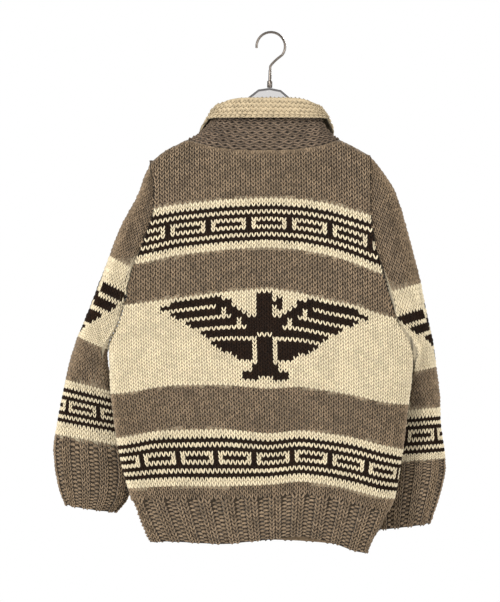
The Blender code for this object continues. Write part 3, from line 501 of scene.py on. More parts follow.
def bird_cells():
    half = wing_cells(WINGS)
    half |= {(row, i) for row, first, last in BONE for i in range(first, last + 1)}
    cells = half | {(row, -i) for row, i in half}
    for top, bottom, runs in BODY_OF_BIRD:
        for first, last in runs:
            cells |= {(row, i) for row in range(top, bottom + 1) for i in range(first, last + 1)}
    return cells


def small_bird_cells():
    half = wing_cells(SMALL_WINGS)
    cells = half | {(row, -i) for row, i in half}
    for row, first, last in SMALL_BODY:
        cells |= {(row, i) for i in range(first, last + 1)}
    return cells


def stamp(yarn, i, j, cells, first_row, middle):
    """Puts a motif's dark stitches on the chart."""
    for row, column_at in cells:
        yarn[(j == first_row + row) & (i == middle + column_at)] = DARK
    return yarn


def striped(i, j, stripes):
    yarn = np.full(i.shape, BROWN)
    for first, after, border in stripes:
        for row in range(first, after):
            found = j == row
            yarn[found] = CREAM if border is None else border_yarn(border[row - first], i)[found]
    return yarn


def body_chart(i, j):
    return striped(i, j, BODY_STRIPES)


def back_chart(i, j):
    return stamp(body_chart(i, j), i, j, bird_cells(), BIRD_ROW, BIRD_COLUMN)


def sleeve_chart(i, j):
    return stamp(striped(i, j, SLEEVE_STRIPES), i, j, small_bird_cells(), SMALL_BIRD_ROW, 0)


# ---------------------------------------------------------------- stitches
LEG_LINE = (          # along the leg: across and down the stitch, half width, height over the wall
    (0.09, -0.26, 0.00, -1.2), (0.14, 0.05, 0.17, 1.9), (0.25, 0.50, 0.215, STITCH_PROUD),
    (0.40, 0.96, 0.185, 2.2), (0.49, 1.36, 0.00, -1.0),
)
PURL_LINE = (         # along a purl bump, which lies across the stitch like a low arch
    (-0.20, 0.78, 0.00, -1.0), (0.10, 0.52, 0.44, 2.4), (0.50, 0.42, 0.50, 3.2), (0.90, 0.52, 0.44, 2.4),
    (1.20, 0.78, 0.00, -1.0),
)
GARTER_LINE = (       # a bump of a garter ridge, thick and steep
    (-0.22, 0.98, 0.00, -1.2), (0.08, 0.66, 0.25, 2.5), (0.50, 0.32, 0.34, 4.2), (0.92, 0.66, 0.25, 2.5),
    (1.22, 0.98, 0.00, -1.2),
)
LOOP_LINE = (         # a loop of the collar's fall, arched higher
    (-0.06, 1.08, 0.00, -1.2), (0.13, 0.74, 0.17, 2.8), (0.50, 0.26, 0.24, 4.2), (0.87, 0.74, 0.17, 2.8),
    (1.06, 1.08, 0.00, -1.2),
)
CAST_OFF_LINES = (    # the two strands of a stitch of the cast-off chain, which lie along the edge
    ((-0.25, 0.10, 0.00, -1.0), (0.15, 0.16, 0.17, 3.0), (0.70, 0.34, 0.19, 3.8), (1.20, 0.52, 0.00, -1.0)),
    ((-0.30, 1.02, 0.00, -1.0), (0.10, 0.92, 0.20, 3.2), (0.65, 0.70, 0.22, 4.0), (1.20, 0.45, 0.00, -1.0)),
)


def strand(line, flip):
    """A closed strand with a half round section: points (across, down, height), faces and their map."""
    points = []
    rings = []
    for number, (a, b, half_width, height) in enumerate(line):
        before = line[max(number - 1, 0)]
        after = line[min(number + 1, len(line) - 1)]
        way = np.array((after[0] - before[0], after[1] - before[1]))
        side = np.array((-way[1], way[0])) / np.linalg.norm(way)
        if half_width == 0.0:
            rings.append([len(points)] * 4)
            points.append((a, b, height))
            continue
        start = len(points)
        for offset, share in ((-1.0, -0.6), (0.0, 1.0), (1.0, -0.6)):
            low = height * share if share > 0.0 else share
            points.append((a + side[0] * half_width * offset, b + side[1] * half_width * offset, low))
        rings.append([start, start + 1, start + 2, start])
    faces = []
    spots = []
    last = len(rings) - 1
    for i in range(last):
        for k in range(3):
            quad = (rings[i][k], rings[i][k + 1], rings[i + 1][k + 1], rings[i + 1][k])
            places = ((k, i), (k + 1, i), (k + 1, i + 1), (k, i + 1))
            for pick in ((0, 1, 2), (0, 2, 3)):
                face = [quad[p] for p in pick]
                if len(set(face)) == 3:
                    faces.append(face[::-1])
                    spots.append([(places[p][0] / 3.0, places[p][1] / last) for p in pick][::-1])
    points = np.array(points)
    if flip:
        points[:, 0] = 1.0 - points[:, 0]
        faces = [face[::-1] for face in faces]
        spots = [spot[::-1] for spot in spots]
    return points, faces, spots


def stitch_of(lines, least=0.0, deep=1.0):
    """Joins strands into one stitch, each with its own part of the stitch's map, and the painted shade of each
    point, darker where it lies low between the strands.
    """
    points = []
    faces = []
    spots = []
    for number, (line, flip) in enumerate(lines):
        own, own_faces, own_spots = strand(line, flip)
        base = sum(len(p) for p in points)
        points.append(own)
        faces += [[k + base for k in face] for face in own_faces]
        spots += [[((number + 0.05 + 0.9 * x) / len(lines), 0.05 + 0.9 * y) for x, y in spot] for spot in own_spots]
    points = np.concatenate(points)
    # Painted shade: the lower a point lies, the darker it is painted, from least up to least + deep.
    hollow = least + deep * np.clip(0.75 - 1.13 * points[:, 2] / points[:, 2].max(), 0.0, 1.0)
    return points, np.array(faces), np.array(spots), hollow


# Rib stitches and purl bumps carry painted shade all over, more than plain knitting, for the shade in the ribs'
# furrows and low on the garment.
KNIT = stitch_of(((LEG_LINE, False), (LEG_LINE, True)))
RIB_KNIT = stitch_of(((LEG_LINE, False), (LEG_LINE, True)), 0.22, 0.5)
PURL = stitch_of(((PURL_LINE, False),), 0.3, 0.35)
GARTER = stitch_of(((GARTER_LINE, False),))
LOOP = stitch_of(((LOOP_LINE, False),))
CAST_OFF = stitch_of([(line, False) for line in CAST_OFF_LINES])


class Cells:
    """Stitches to be made: four corners with their normals, which line of columns and row each is in,
    the yarn, how far they stand out and whether their faces have to be turned round."""
    def __init__(self, corners, normals, line, row, yarn=None, proud=1.0):
        self.corners = corners
        self.normals = normals
        self.line = line
        self.row = row
        self.yarn = np.full(len(corners), BROWN) if yarn is None else yarn
        self.proud = proud
        across = corners[:, 1] - corners[:, 0]
        down = corners[:, 3] - corners[:, 0]
        self.turned = np.einsum("nx,nx->n", np.cross(across, down), normals[:, 0]) < 0.0
        self.first = np.zeros(len(corners), bool)

    def only(self, keep):
        kept = Cells(self.corners[keep], self.normals[keep], self.line[keep], self.row[keep],
                     self.yarn[keep], self.proud)
        kept.first = self.first[keep]
        return kept


def cut_cells(surface, sign, u_lines, v_lines, limits, top, sink=0.0):
    """Cells between lines of columns and rows, cut at the panel's edges."""
    u0, v0 = np.meshgrid(u_lines[:-1], v_lines[:-1])
    u1, v1 = np.meshgrid(u_lines[1:], v_lines[1:])
    low, high = limits(0.5 * (v0 + v1))
    least = 0.4 * (u_lines[1] - u_lines[0])
    a = np.where(u0 < low + least, low, u0)
    b = np.where(u1 > high - least, high, u1)
    edge = top(0.5 * (a + b))
    c = np.where(v0 < edge + 0.4, np.maximum(edge, v0 + 0.001), v0)
    keep = (b - a > least) & (v1 - c > 0.4)
    a, b, c, d = a[keep], b[keep], c[keep], v1[keep]      # the cells' sides, tops and bottoms
    us = np.stack((a, b, b, a), 1)
    start = np.where(c > v0[keep], v0[keep] - 0.6, c)
    vs = np.stack((np.clip(top(a), start, d - 0.2), np.clip(top(b), start, d - 0.2), d, d), 1)
    normals = normals_of(surface, us, vs, sign)
    corners = surface(us, vs) - normals * (SINK + sink)
    line = np.broadcast_to(np.arange(len(u_lines) - 1), u0.shape)[keep]
    cells = Cells(corners, normals, line, np.floor(v0[keep]).astype(int))
    cells.first = c > v0[keep]
    return cells


def make_mesh(name, points, faces, materials, uvs=None, face_material=None, **point_values):
    """A smooth mesh from arrays of points in millimetres and triangles."""
    mesh = bpy.data.meshes.new(name)
    count = len(faces)
    mesh.vertices.add(len(points))
    mesh.vertices.foreach_set("co", (np.asarray(points) * MM).astype(np.float32).ravel())
    mesh.loops.add(3 * count)
    mesh.loops.foreach_set("vertex_index", np.asarray(faces, np.int32).ravel())
    mesh.polygons.add(count)
    mesh.polygons.foreach_set("loop_start", np.arange(0, 3 * count, 3, dtype=np.int32))
    mesh.polygons.foreach_set("use_smooth", np.ones(count, bool))
    for material in materials:
        mesh.materials.append(material)
    if face_material is not None:
        mesh.polygons.foreach_set("material_index", np.asarray(face_material, np.int32))
    if uvs is not None:
        mesh.uv_layers.new(name="OFBake").data.foreach_set("uv", np.asarray(uvs, np.float32).ravel())
    for label, values in point_values.items():
        mesh.attributes.new(label, "FLOAT", "POINT").data.foreach_set("value", values.astype(np.float32))
    mesh.update()
    mesh.validate()
    piece = bpy.data.objects.new(name, mesh)
    bpy.context.scene.collection.objects.link(piece)
    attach(piece, "root")
    return piece


def make_stitches(name, groups, material):
    """One piece of knitting: every stitch of groups, which are (template, cells)."""
    points = []
    faces = []
    uvs = []
    shades = []
    hollows = []
    count = 0
    total = sum(len(cells.corners) for _, cells in groups)
    across = int(math.ceil(math.sqrt(total)))
    made = 0
    for (form, form_faces, form_spots, form_hollow), cells in groups:
        n = len(cells.corners)
        if not n:
            continue
        a = form[None, :, 0]
        b = np.where(cells.first[:, None], np.maximum(form[None, :, 1], 0.04), form[None, :, 1])
        weights = np.stack(((1 - a) * (1 - b), a * (1 - b), a * b, (1 - a) * b), 2)
        place = np.einsum("nkc,ncx->nkx", weights, cells.corners)
        tilt = np.einsum("nkc,ncx->nkx", weights, cells.normals)
        wobble = 1.0 + 0.10 * rng.standard_normal((n, 1, 1))
        height = np.where(form[:, 2] > 0.0, form[:, 2] * cells.proud, form[:, 2])
        rise = np.where(cells.first[:, None], np.clip(1.4 * b, 0.0, 1.0), 1.0)
        place = place + tilt * (height * rise)[..., None] * wobble
        place += 0.14 * rng.standard_normal((n, 1, 3))
        points.append(place.reshape(-1, 3))
        number = made + np.arange(n)
        corner = np.stack((number % across, number // across), 1)[:, None, None, :]
        own = form_faces[None] + count + len(form) * np.arange(n)[:, None, None]
        spots = (corner + form_spots[None]) / across
        own[cells.turned] = own[cells.turned][:, :, ::-1]
        spots[cells.turned] = spots[cells.turned][:, :, ::-1]
        faces.append(own.reshape(-1, 3))
        uvs.append(spots.reshape(-1, 2))
        shades.append(np.repeat(rng.random(n), len(form)))
        # The painted shade of each point comes from the stitch's form.
        hollows.append(np.tile(form_hollow, n))
        count += len(form) * n
        made += n
    return make_mesh(name, np.concatenate(points), np.concatenate(faces), [material],
                     np.concatenate(uvs), shade=np.concatenate(shades), hollow=np.concatenate(hollows))


# ---------------------------------------------------------------- walls of cloth
def fill_rows(rows, flip, closed=False):
    """Triangles of a grid of point numbers."""
    faces = []
    for upper, lower in zip(rows, rows[1:]):
        if closed:
            upper = np.append(upper, upper[0])
            lower = np.append(lower, lower[0])
        first = np.stack((upper[:-1], lower[:-1], lower[1:]), 1)
        second = np.stack((upper[:-1], lower[1:], upper[1:]), 1)
        faces.append(np.concatenate((first, second)))
    faces = np.concatenate(faces)
    return faces[:, ::-1] if flip else faces


def make_wall(name, outer, inner, yarns, materials, flip, closed=False, hollow=None):
    """A closed wall between two grids of points of one size; yarns picks the material of each point."""
    rows, cols = outer.shape[:2]
    points = np.concatenate((outer.reshape(-1, 3), inner.reshape(-1, 3)))
    front = np.arange(rows * cols).reshape(rows, cols)
    back = front + rows * cols
    parts = [fill_rows(front, flip, closed), fill_rows(back, not flip, closed)]
    parts.append(fill_rows(np.stack((back[0], front[0])), flip, closed))
    parts.append(fill_rows(np.stack((front[-1], back[-1])), flip, closed))
    if not closed:
        parts.append(fill_rows(np.stack((front[:, 0], back[:, 0])), flip))
        parts.append(fill_rows(np.stack((back[:, -1], front[:, -1])), flip))
    faces = np.concatenate(parts)
    yarn_of = np.concatenate((yarns.ravel(), yarns.ravel()))
    count = rows * cols
    # Painted shade: the outer face is painted dark in full unless told otherwise, as it shows only in the gaps
    # between the stitches, and the inner face, inside the garment, a little.
    return make_mesh(name, points, faces, materials, face_material=yarn_of[faces].max(axis=1),
                     shade=rng.random(2 * count),
                     hollow=np.append(np.ones(count) if hollow is None else hollow.ravel(), np.full(count, 0.2)))


def panel_grid(limits, top, cols, rows):
    """Columns and rows of a grid of points that fills a panel to its edges."""
    across, down = np.meshgrid(np.linspace(0.0, 1.0, cols), np.linspace(0.0, 1.0, rows))
    v = down * LAST_ROW
    u = np.zeros_like(v)
    for _ in range(12):
        low, high = limits(v)
        u = low + (high - low) * across
        v = 0.5 * v + 0.5 * (top(u) + (LAST_ROW - top(u)) * down)
    low, high = limits(v)
    return low + (high - low) * across, v


# ---------------------------------------------------------------- materials
def new_group(name, inputs, outputs):
    """A shader node group with float or colour sockets, and its input and output nodes."""
    tree = bpy.data.node_groups.new(name, "ShaderNodeTree")
    for label, kind, value in inputs:
        socket = tree.interface.new_socket(name=label, in_out="INPUT", socket_type=kind)
        socket.default_value = value
    for label, kind in outputs:
        tree.interface.new_socket(name=label, in_out="OUTPUT", socket_type=kind)
    start = tree.nodes.new("NodeGroupInput")
    end = tree.nodes.new("NodeGroupOutput")
    return tree, start, end


def add(tree, kind, settings=None, **values):
    node = tree.nodes.new(kind)
    for key, value in (settings or {}).items():
        setattr(node, key, value)
    for key, value in values.items():
        node.inputs[key.replace("_", " ")].default_value = value
    return node


def feed(tree, source, node, socket):
    """Links a source, which is (node, output), to an input."""
    tree.links.new(source[0].outputs[source[1]], node.inputs[socket])


def object_place(tree, scale=None):
    place = add(tree, "ShaderNodeTexCoord"), "Object"
    if scale is None:
        return place
    stretch = add(tree, "ShaderNodeMapping", Scale=scale)
    feed(tree, place, stretch, "Vector")
    return stretch, "Vector"


def noise(tree, place, **values):
    node = add(tree, "ShaderNodeTexNoise", **values)
    feed(tree, place, node, "Vector")
    return node, "Fac"


def ranged(tree, source, **values):
    node = add(tree, "ShaderNodeMapRange", **values)
    feed(tree, source, node, "Value")
    return node, "Result"


def tinted(tree, source, colours, positions=(0.0, 1.0)):
    node = add(tree, "ShaderNodeValToRGB")
    for element, colour, position in zip(node.color_ramp.elements, colours, positions):
        element.color = (*colour, 1.0)
        element.position = position
    feed(tree, source, node, "Fac")
    return node, "Color"


def calculated(tree, operation, *terms):
    """A sum of arithmetic whose terms are sources or numbers."""
    node = add(tree, "ShaderNodeMath", {"operation": operation})
    for number, term in enumerate(terms):
        if isinstance(term, tuple):
            feed(tree, term, node, number)
        else:
            node.inputs[number].default_value = term
    return node, 0


def bumped(tree, height, shader, **values):
    bump = add(tree, "ShaderNodeBump", **values)
    feed(tree, height, bump, "Height")
    feed(tree, (bump, "Normal"), shader, "Normal")


def make_yarn_group():
    """Handspun wool: fibres of two shades mixed along the yarn, painted shade that darkens the low places between
    strands, and their relief.
    """
    colour, number = "NodeSocketColor", "NodeSocketFloat"
    tree, start, end = new_group(
        "handspun_wool",
        (("Wool", colour, (0.2, 0.15, 0.1, 1.0)), ("Pale Fibre", colour, (0.3, 0.25, 0.2, 1.0)),
         ("Dark Fibre", colour, (0.1, 0.07, 0.05, 1.0)), ("Mixing", number, 0.5),
         ("Unevenness", number, 0.2), ("Hollow Tone", number, 0.5)),
        (("Colour", colour), ("Height", number), ("Roughness", number)))
    lengthways = object_place(tree, (1.0, 1.0, 0.4))
    fibre = noise(tree, lengthways, Scale=1500.0, Detail=3.0, Roughness=0.65)
    clump = noise(tree, lengthways, Scale=420.0, Detail=2.0, Roughness=0.6)
    cloud = noise(tree, object_place(tree), Scale=26.0, Detail=3.0, Roughness=0.55)
    mixed = start, "Wool"
    for fleck, most, other in ((fibre, 0.78, "Pale Fibre"), (clump, 0.24, "Dark Fibre")):
        share = calculated(tree, "MULTIPLY", ranged(tree, fleck, From_Min=0.5, From_Max=most), (start, "Mixing"))
        mix = add(tree, "ShaderNodeMix", {"data_type": "RGBA"})
        for source, socket in ((share, "Factor"), (mixed, 6), ((start, other), 7)):
            feed(tree, source, mix, socket)
        mixed = mix, 2
    shade, hollow = [(add(tree, "ShaderNodeAttribute", {"attribute_name": label}), "Fac")
                     for label in ("shade", "hollow")]
    centred = calculated(tree, "SUBTRACT", calculated(tree, "ADD", shade, cloud), 1.0)
    uneven = calculated(tree, "MULTIPLY_ADD", centred, (start, "Unevenness"), 1.0)
    # Painted shade: the low places between the strands are darkened toward the tone given for it.
    shadow = ranged(tree, hollow, To_Min=1.0)
    feed(tree, (start, "Hollow Tone"), shadow[0], "To Max")
    tone = add(tree, "ShaderNodeVectorMath", {"operation": "SCALE"})
    feed(tree, mixed, tone, 0)
    feed(tree, calculated(tree, "MULTIPLY", uneven, shadow), tone, "Scale")
    feed(tree, (tone, "Vector"), end, "Colour")
    feed(tree, calculated(tree, "MULTIPLY_ADD", clump, 0.45, fibre), end, "Height")
    feed(tree, ranged(tree, fibre, To_Min=0.82, To_Max=1.0), end, "Roughness")
    return tree


def principled(name, **values):
    material = bpy.data.materials.new(name)
    material.use_nodes = True
    shader = material.node_tree.nodes["Principled BSDF"]
    for key, value in values.items():
        shader.inputs[key.replace("_", " ")].default_value = value
    return material, shader


def make_wool(group, name, wool, pale, deep, mixing, unevenness, hollow, sheen):
    material, shader = principled(name, Sheen_Weight=sheen, Sheen_Roughness=0.5, Specular_IOR_Level=0.08)
    tree = material.node_tree
    yarn = add(tree, "ShaderNodeGroup", {"node_tree": group}, Wool=(*wool, 1.0), Pale_Fibre=(*pale, 1.0),
               Dark_Fibre=(*deep, 1.0), Mixing=mixing, Unevenness=unevenness, Hollow_Tone=hollow)
    bumped(tree, (yarn, "Height"), shader, Strength=0.55, Distance=0.0012)
    feed(tree, (yarn, "Colour"), shader, "Base Color")
    feed(tree, (yarn, "Roughness"), shader, "Roughness")
    return material


def make_wood():
    material, shader = principled("button_wood", Roughness=0.42, Coat_Weight=0.25, Coat_Roughness=0.25)
    tree = material.node_tree
    grain = noise(tree, object_place(tree, (30.0, 30.0, 260.0)), Scale=4.0, Detail=5.0, Roughness=0.6,
                  Distortion=0.6)
    tint = tinted(tree, grain, ((0.10, 0.045, 0.020), (0.30, 0.155, 0.070)), (0.35, 0.66))
    feed(tree, tint, shader, "Base Color")
    bumped(tree, grain, shader, Strength=0.2, Distance=0.0004)
    return material


def make_metal():
    material, shader = principled("hook_metal", Metallic=0.85)
    tree = material.node_tree
    smear = noise(tree, object_place(tree), Scale=90.0, Detail=4.0, Roughness=0.6)
    feed(tree, ranged(tree, smear, To_Min=0.22, To_Max=0.42), shader, "Roughness")
    feed(tree, tinted(tree, smear, ((0.060, 0.050, 0.042), (0.130, 0.112, 0.095))), shader, "Base Color")
    return material


def make_plastic():
    """Clear in the web; the flanges, which stand out along Y, are painted grey for the dark rim that refraction
    gives the clear plastic.
    """
    material, shader = principled("clear_plastic", IOR=1.49, Transmission_Weight=1.0)
    tree = material.node_tree
    place = object_place(tree)
    scuff = noise(tree, place, Scale=60.0, Detail=4.0, Roughness=0.7)
    rough = ranged(tree, scuff, From_Min=0.4, From_Max=0.8, To_Min=0.05, To_Max=0.22)
    feed(tree, rough, shader, "Roughness")
    sides = add(tree, "ShaderNodeSeparateXYZ")
    feed(tree, place, sides, "Vector")
    # Painted shade: the flanges are made dark grey for the dark rim that refraction gives.
    painted_flange_grey = ranged(tree, calculated(tree, "ABSOLUTE", (sides, "Y")), From_Min=0.0016, From_Max=0.0044)
    feed(tree, tinted(tree, painted_flange_grey, ((0.92, 0.90, 0.89), (0.20, 0.19, 0.19))), shader, "Base Color")
    return material


WOOL_TABLE = (        # name; wool, pale and dark fibre; mixing, unevenness, tone of the painted shade in low places, sheen
    ("brown_wool", (0.242, 0.170, 0.103), (0.51, 0.395, 0.275), (0.06, 0.040, 0.024), 0.95, 0.5, 0.10, 0.07),
    ("cream_wool", (0.74, 0.63, 0.43), (0.86, 0.77, 0.58), (0.52, 0.42, 0.27), 0.5, 0.22, 0.35, 0.08),
    ("dark_wool", (0.017, 0.008, 0.004), (0.055, 0.031, 0.016), (0.005, 0.003, 0.001), 0.8, 0.5, 0.3, 0.02),
    # The collar's wools carry painted shade: the brown is the body's brown yarn made darker because the stand lies
    # under the fall, and the cream is truly a yellower yarn, made darker besides against the light that it catches
    # facing up.
    ("shaded_collar_brown_wool", (0.150, 0.106, 0.071), (0.31, 0.245, 0.18), (0.045, 0.030, 0.018),
     0.95, 0.5, 0.10, 0.06),
    ("shaded_yellower_collar_cream_wool", (0.50, 0.40, 0.255), (0.64, 0.54, 0.38), (0.36, 0.27, 0.155),
     0.5, 0.24, 0.20, 0.03),
)
yarn_group = make_yarn_group()
every_wool = [make_wool(yarn_group, *row) for row in WOOL_TABLE]
WOOLS = every_wool[:3]
SHADED_COLLAR_WOOLS = every_wool[3:]
button_wood = make_wood()
hook_metal = make_metal()
clear_plastic = make_plastic()


# ---------------------------------------------------------------- panels, sleeves and bands
RIB_COLUMNS = (0.0, 0.285, 0.57, 0.785)   # sides of the columns in one repeat of the hem's rib
RIB_START = 0.055     # where the first rib begins, in repeats
FAR = 400.0           # beyond either side of the body
MOST = 38             # columns to either side of the middle that a panel may reach


def make_knitting(panel, groups_of_cells, wools=WOOLS):
    """The stitches of a panel, one piece for each yarn; the panel's own part is hidden."""
    for yarn, word in enumerate(YARNS):
        groups = [(form, cells.only(cells.yarn == yarn)) for form, cells in groups_of_cells]
        if not sum(len(cells.corners) for _, cells in groups):
            continue
        piece = make_stitches(f"{panel}_{word}_stitches", groups, wools[yarn])
    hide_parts(panel)


def rib_cells(surface, sign, u_lines, v_lines, limits, top):
    """Two columns of knit stitches on each rib and two staggered ones of purl bumps in each furrow."""
    knit = cut_cells(surface, sign, u_lines, v_lines, limits, top)
    purl = cut_cells(surface, sign, u_lines, v_lines, limits, top, RIB_DEEP)
    lower = cut_cells(surface, sign, u_lines, v_lines[:-1] + 0.5, limits, top, RIB_DEEP)
    return knit.only(knit.line % 4 < 2), purl.only(purl.line % 4 == 2), lower.only(lower.line % 4 == 3)


def rib_share(place):
    """Height of a ribbed row at a place in its repeat: 1 on the rib and 0 in the furrow."""
    return np.interp(np.mod(place, 1.0), (0.0, 0.13, 0.48, 0.61, 1.0), (0.0, 1.0, 1.0, 0.0, 0.0))


def make_panel(name, side, edges, chart, ribs, wall_size):
    surface = body_map(side)
    limits, top = body_limits(side, *edges)
    cells = cut_cells(surface, side, np.arange(-MOST - 0.5, MOST + 1.0), np.arange(-10.0, RIB_ROW + 0.5),
                      limits, top)
    cells.yarn = chart(cells.line - MOST, cells.row)
    low, high = limits(0.5 * (RIB_ROW + LAST_ROW))
    rib_places = np.append((np.arange(-1.0, ribs)[:, None] + RIB_COLUMNS).ravel(), ribs)
    rib_lines = low + (high - low) * (RIB_START + rib_places) / ribs
    knit, purl, lower = rib_cells(surface, side, rib_lines, np.arange(RIB_ROW, LAST_ROW + 0.5), limits, top)
    u, v = panel_grid(limits, top, *wall_size)
    normals = normals_of(surface, u, v, side)
    low, high = limits(v)
    raised = rib_share((u - low) / (high - low) * ribs)
    sink = SINK + RIB_DEEP * (1.0 - raised) * smooth((v - RIB_ROW + 1.0) / 2.0)
    points = surface(u, v)
    # Painted shade on the wall between the stitches, less of it near the panel's top edge.
    wall = make_wall(f"{name}_cloth", points - normals * sink[..., None], points - normals * WALL,
                     chart(np.round(u).astype(int), np.floor(v).astype(int)), WOOLS, side > 0.0,
                     hollow=0.25 + 0.75 * smooth((v - top(u)) / 1.3))
    return make_knitting(name, [(KNIT, cells), (RIB_KNIT, knit), (PURL, purl), (PURL, lower)])


def make_fronts():
    """The fronts carry the back's stripes on round the sides."""
    back_limits, _ = body_limits(1.0, -FAR, FAR)
    for name, least_x, most_x, end in (
            ("front_left", CENTRE_FRONT + BAND_HALF + 0.5 * GAP, FAR, 1),
            ("front_right", -FAR, CENTRE_FRONT - BAND_HALF - 0.5 * GAP, 0)):
        limits, _ = body_limits(-1.0, least_x, most_x)
        turn = int(round(float(back_limits(60.0)[end]) + float(limits(60.0)[end])))

        def chart(i, j, turn=turn):
            return body_chart(turn - i, j)

        make_panel(name, -1.0, (least_x, most_x), chart, 5, (49, 121))


def make_band(name, lift):
    def surface(u, v):
        x = CENTRE_FRONT + (u / BAND_COLUMNS - 0.5) * (2.0 * BAND_HALF - GAP)
        z = BAND_TOP_Z + (row_z(x, np.full_like(x, LAST_ROW), -1.0) - BAND_TOP_Z) * v / BAND_ROWS
        return np.stack((x, -body_depth(x, z, 0.0, -1.0) - lift, z), -1)

    def limits(v):
        return np.zeros_like(v), np.full_like(v, BAND_COLUMNS)

    u, v = np.meshgrid(np.linspace(0.0, BAND_COLUMNS, 13), np.linspace(0.0, BAND_ROWS, 81))
    normals = normals_of(surface, u, v, -1.0)
    points = surface(u, v)
    wall = make_wall(f"{name}_cloth", points - normals * SINK, points - normals * WALL,
                     np.full(u.shape, BROWN), WOOLS, False)
    cells = cut_cells(surface, -1.0, np.arange(BAND_COLUMNS + 1.0), np.arange(BAND_ROWS + 1.0), limits,
                      np.zeros_like)
    make_knitting(name, [(KNIT, cells)])


def make_sleeve(name, table, which, rows_index):
    """A sleeve is knitted round: columns run from its outer edge over the back to the inner one."""
    step = 0.05
    levels = np.arange(0.0, 13.001, step)
    shape = [eased(np.interp(levels, range(len(table)), column(table, i)), 8) for i in range(6)]
    knots = [row[0] for row in SLEEVE_ROWS]
    places = [row[rows_index] for row in SLEEVE_ROWS]
    samples = np.linspace(0.0, 2.0 * math.pi, 361)

    def tube(turn, level):
        at = [np.interp(level, levels / step, values) for values in shape]
        reach = signed_power(np.cos(turn), 2.0 / ROUND)
        swell = signed_power(np.sin(turn), 2.0 / ROUND)
        x = 0.5 * (at[0] + at[2]) + 0.5 * (at[0] - at[2]) * reach
        z = 0.5 * (at[1] + at[3]) + 0.5 * (at[1] - at[3]) * reach
        return np.stack((x, at[5] + at[4] * swell, z), -1)

    turn_table = []
    for k in range(len(levels)):
        lengths = lengths_along(tube(samples, np.full_like(samples, float(k))))
        turn_table.append(np.interp(np.linspace(0.0, lengths[-1], 161), lengths, samples))
    turn_table = np.array(turn_table)

    def plain(u, v):
        level = np.interp(v, knots, places) / step
        turn = look_up(turn_table, level, np.mod(u / SLEEVE_COLUMNS, 1.0) * 160.0)
        return tube(turn, np.maximum(level, 0.0))

    def edge_of(z):
        return at_level(LEFT_EDGE if which > 0.0 else RIGHT_EDGE, z)

    us = np.arange(-1.0, SLEEVE_COLUMNS + 1.01, 0.25)
    vs = np.arange(np.interp(0.0, places, knots), CUFF_END, 0.1)
    u, v = np.meshgrid(us, vs)
    point = plain(u, v)
    inside = which * (point[..., 0] - edge_of(point[..., 2])) <= 0.0
    first = vs[np.maximum(np.argmax(~inside, axis=0) - 1, 0)]
    begin = plain(us, first)
    edge_x = edge_of(begin[:, 2])
    on_back = np.where(np.mod(us, SLEEVE_COLUMNS) < SLEEVE_COLUMNS / 2, 1.0, -1.0)
    depth = np.where(on_back > 0.0, body_depth(edge_x, begin[:, 2], 0.0, 1.0),
                     body_depth(edge_x, begin[:, 2], 0.0, -1.0))
    target = np.stack((edge_x + which * GAP, on_back * depth, begin[:, 2]), -1)
    shift = np.stack([eased(target[:, k] - begin[:, k], 3) for k in range(3)], -1)

    def surface(u, v):
        round_u = np.mod(u, SLEEVE_COLUMNS)
        point = plain(u, v)
        start = between(round_u, us, begin)
        move = between(round_u, us, shift)
        away = np.linalg.norm(point - start, axis=-1)
        point = point + move * (1.0 - smooth(away / SEAM_BLEND))[..., None]
        least = edge_of(point[..., 2]) + which * (GAP + LEAVE_SEAM * np.minimum(away, SEAM_BLEND))
        apart = which * (point[..., 0] - least)
        upper = 1.0 - smooth((np.interp(v, knots, places) - UNDERARM_ROW - 0.6) / 0.4)
        near = (1.0 - smooth(np.abs(apart) / SLEEVE_PULL)) * (1.0 - smooth(np.abs(point[..., 1]) / 30.0))
        move = np.where(apart < 0.0, -apart * upper, -apart * 0.9 * near)
        point[..., 0] += which * move
        return point

    def limits(v):
        return np.full_like(v, -0.5), np.full_like(v, SLEEVE_COLUMNS - 0.5)

    def top(u):
        return np.interp(np.mod(u, SLEEVE_COLUMNS), us, first)

    def chart(i, j):
        return sleeve_chart(np.where(i > SLEEVE_COLUMNS // 2, i - SLEEVE_COLUMNS, i), j)

    lines = np.arange(SLEEVE_COLUMNS + 1.0) - 0.5
    cells = cut_cells(surface, -which, lines, np.arange(-6.0, CUFF_ROW + 0.5), limits, top)
    cells.yarn = chart(cells.line, cells.row)
    knit, purl, lower = rib_cells(surface, -which, lines, np.arange(CUFF_ROW, CUFF_END + 0.5), limits, top)
    u, down = np.meshgrid(lines[0] + np.arange(2 * SLEEVE_COLUMNS) * 0.5, np.linspace(0.0, 1.0, 111))
    v = top(u) + (CUFF_END - top(u)) * down
    normals = normals_of(surface, u, np.maximum(v, top(u) + 0.8), -which)
    raised = rib_share((u - lines[0]) / SLEEVE_COLUMNS * CUFF_RIBS + RIB_START)
    points = surface(u, v)
    near_body = 1.0 - smooth(np.abs(points[..., 0] - edge_of(points[..., 2])) / 9.0)
    sink = SINK * (1.0 - 0.95 * near_body) + RIB_DEEP * (1.0 - raised) * smooth((v - CUFF_ROW + 1.0) / 2.0)
    wall = make_wall(f"{name}_cloth", points - normals * sink[..., None], points - normals * WALL,
                     chart(np.mod(np.round(u).astype(int), SLEEVE_COLUMNS), np.floor(v).astype(int)), WOOLS,
                     which < 0.0, closed=True)
    make_knitting(name, [(KNIT, cells), (KNIT, knit), (PURL, purl), (PURL, lower)])


# ---------------------------------------------------------------- collar
def unit(vector):
    return vector / np.linalg.norm(vector)


def along(table, at, index):
    return float(np.interp(at, column(table, 0), column(table, index)))


def neck_edge_point(x, side, inset):
    """A point of a panel's neck edge, outside the wall or inside it."""
    z = float(top_z(np.array(x), side))
    over = min(max((float(ridge(x)) - z) / RIDGE_ROUND, 0.0), 1.0)
    z -= inset * (1.0 - over)
    depth = max(float(body_depth(np.array(x), np.array(z), inset, side)), 0.5 * GAP)
    return np.array((x, side * depth, z))


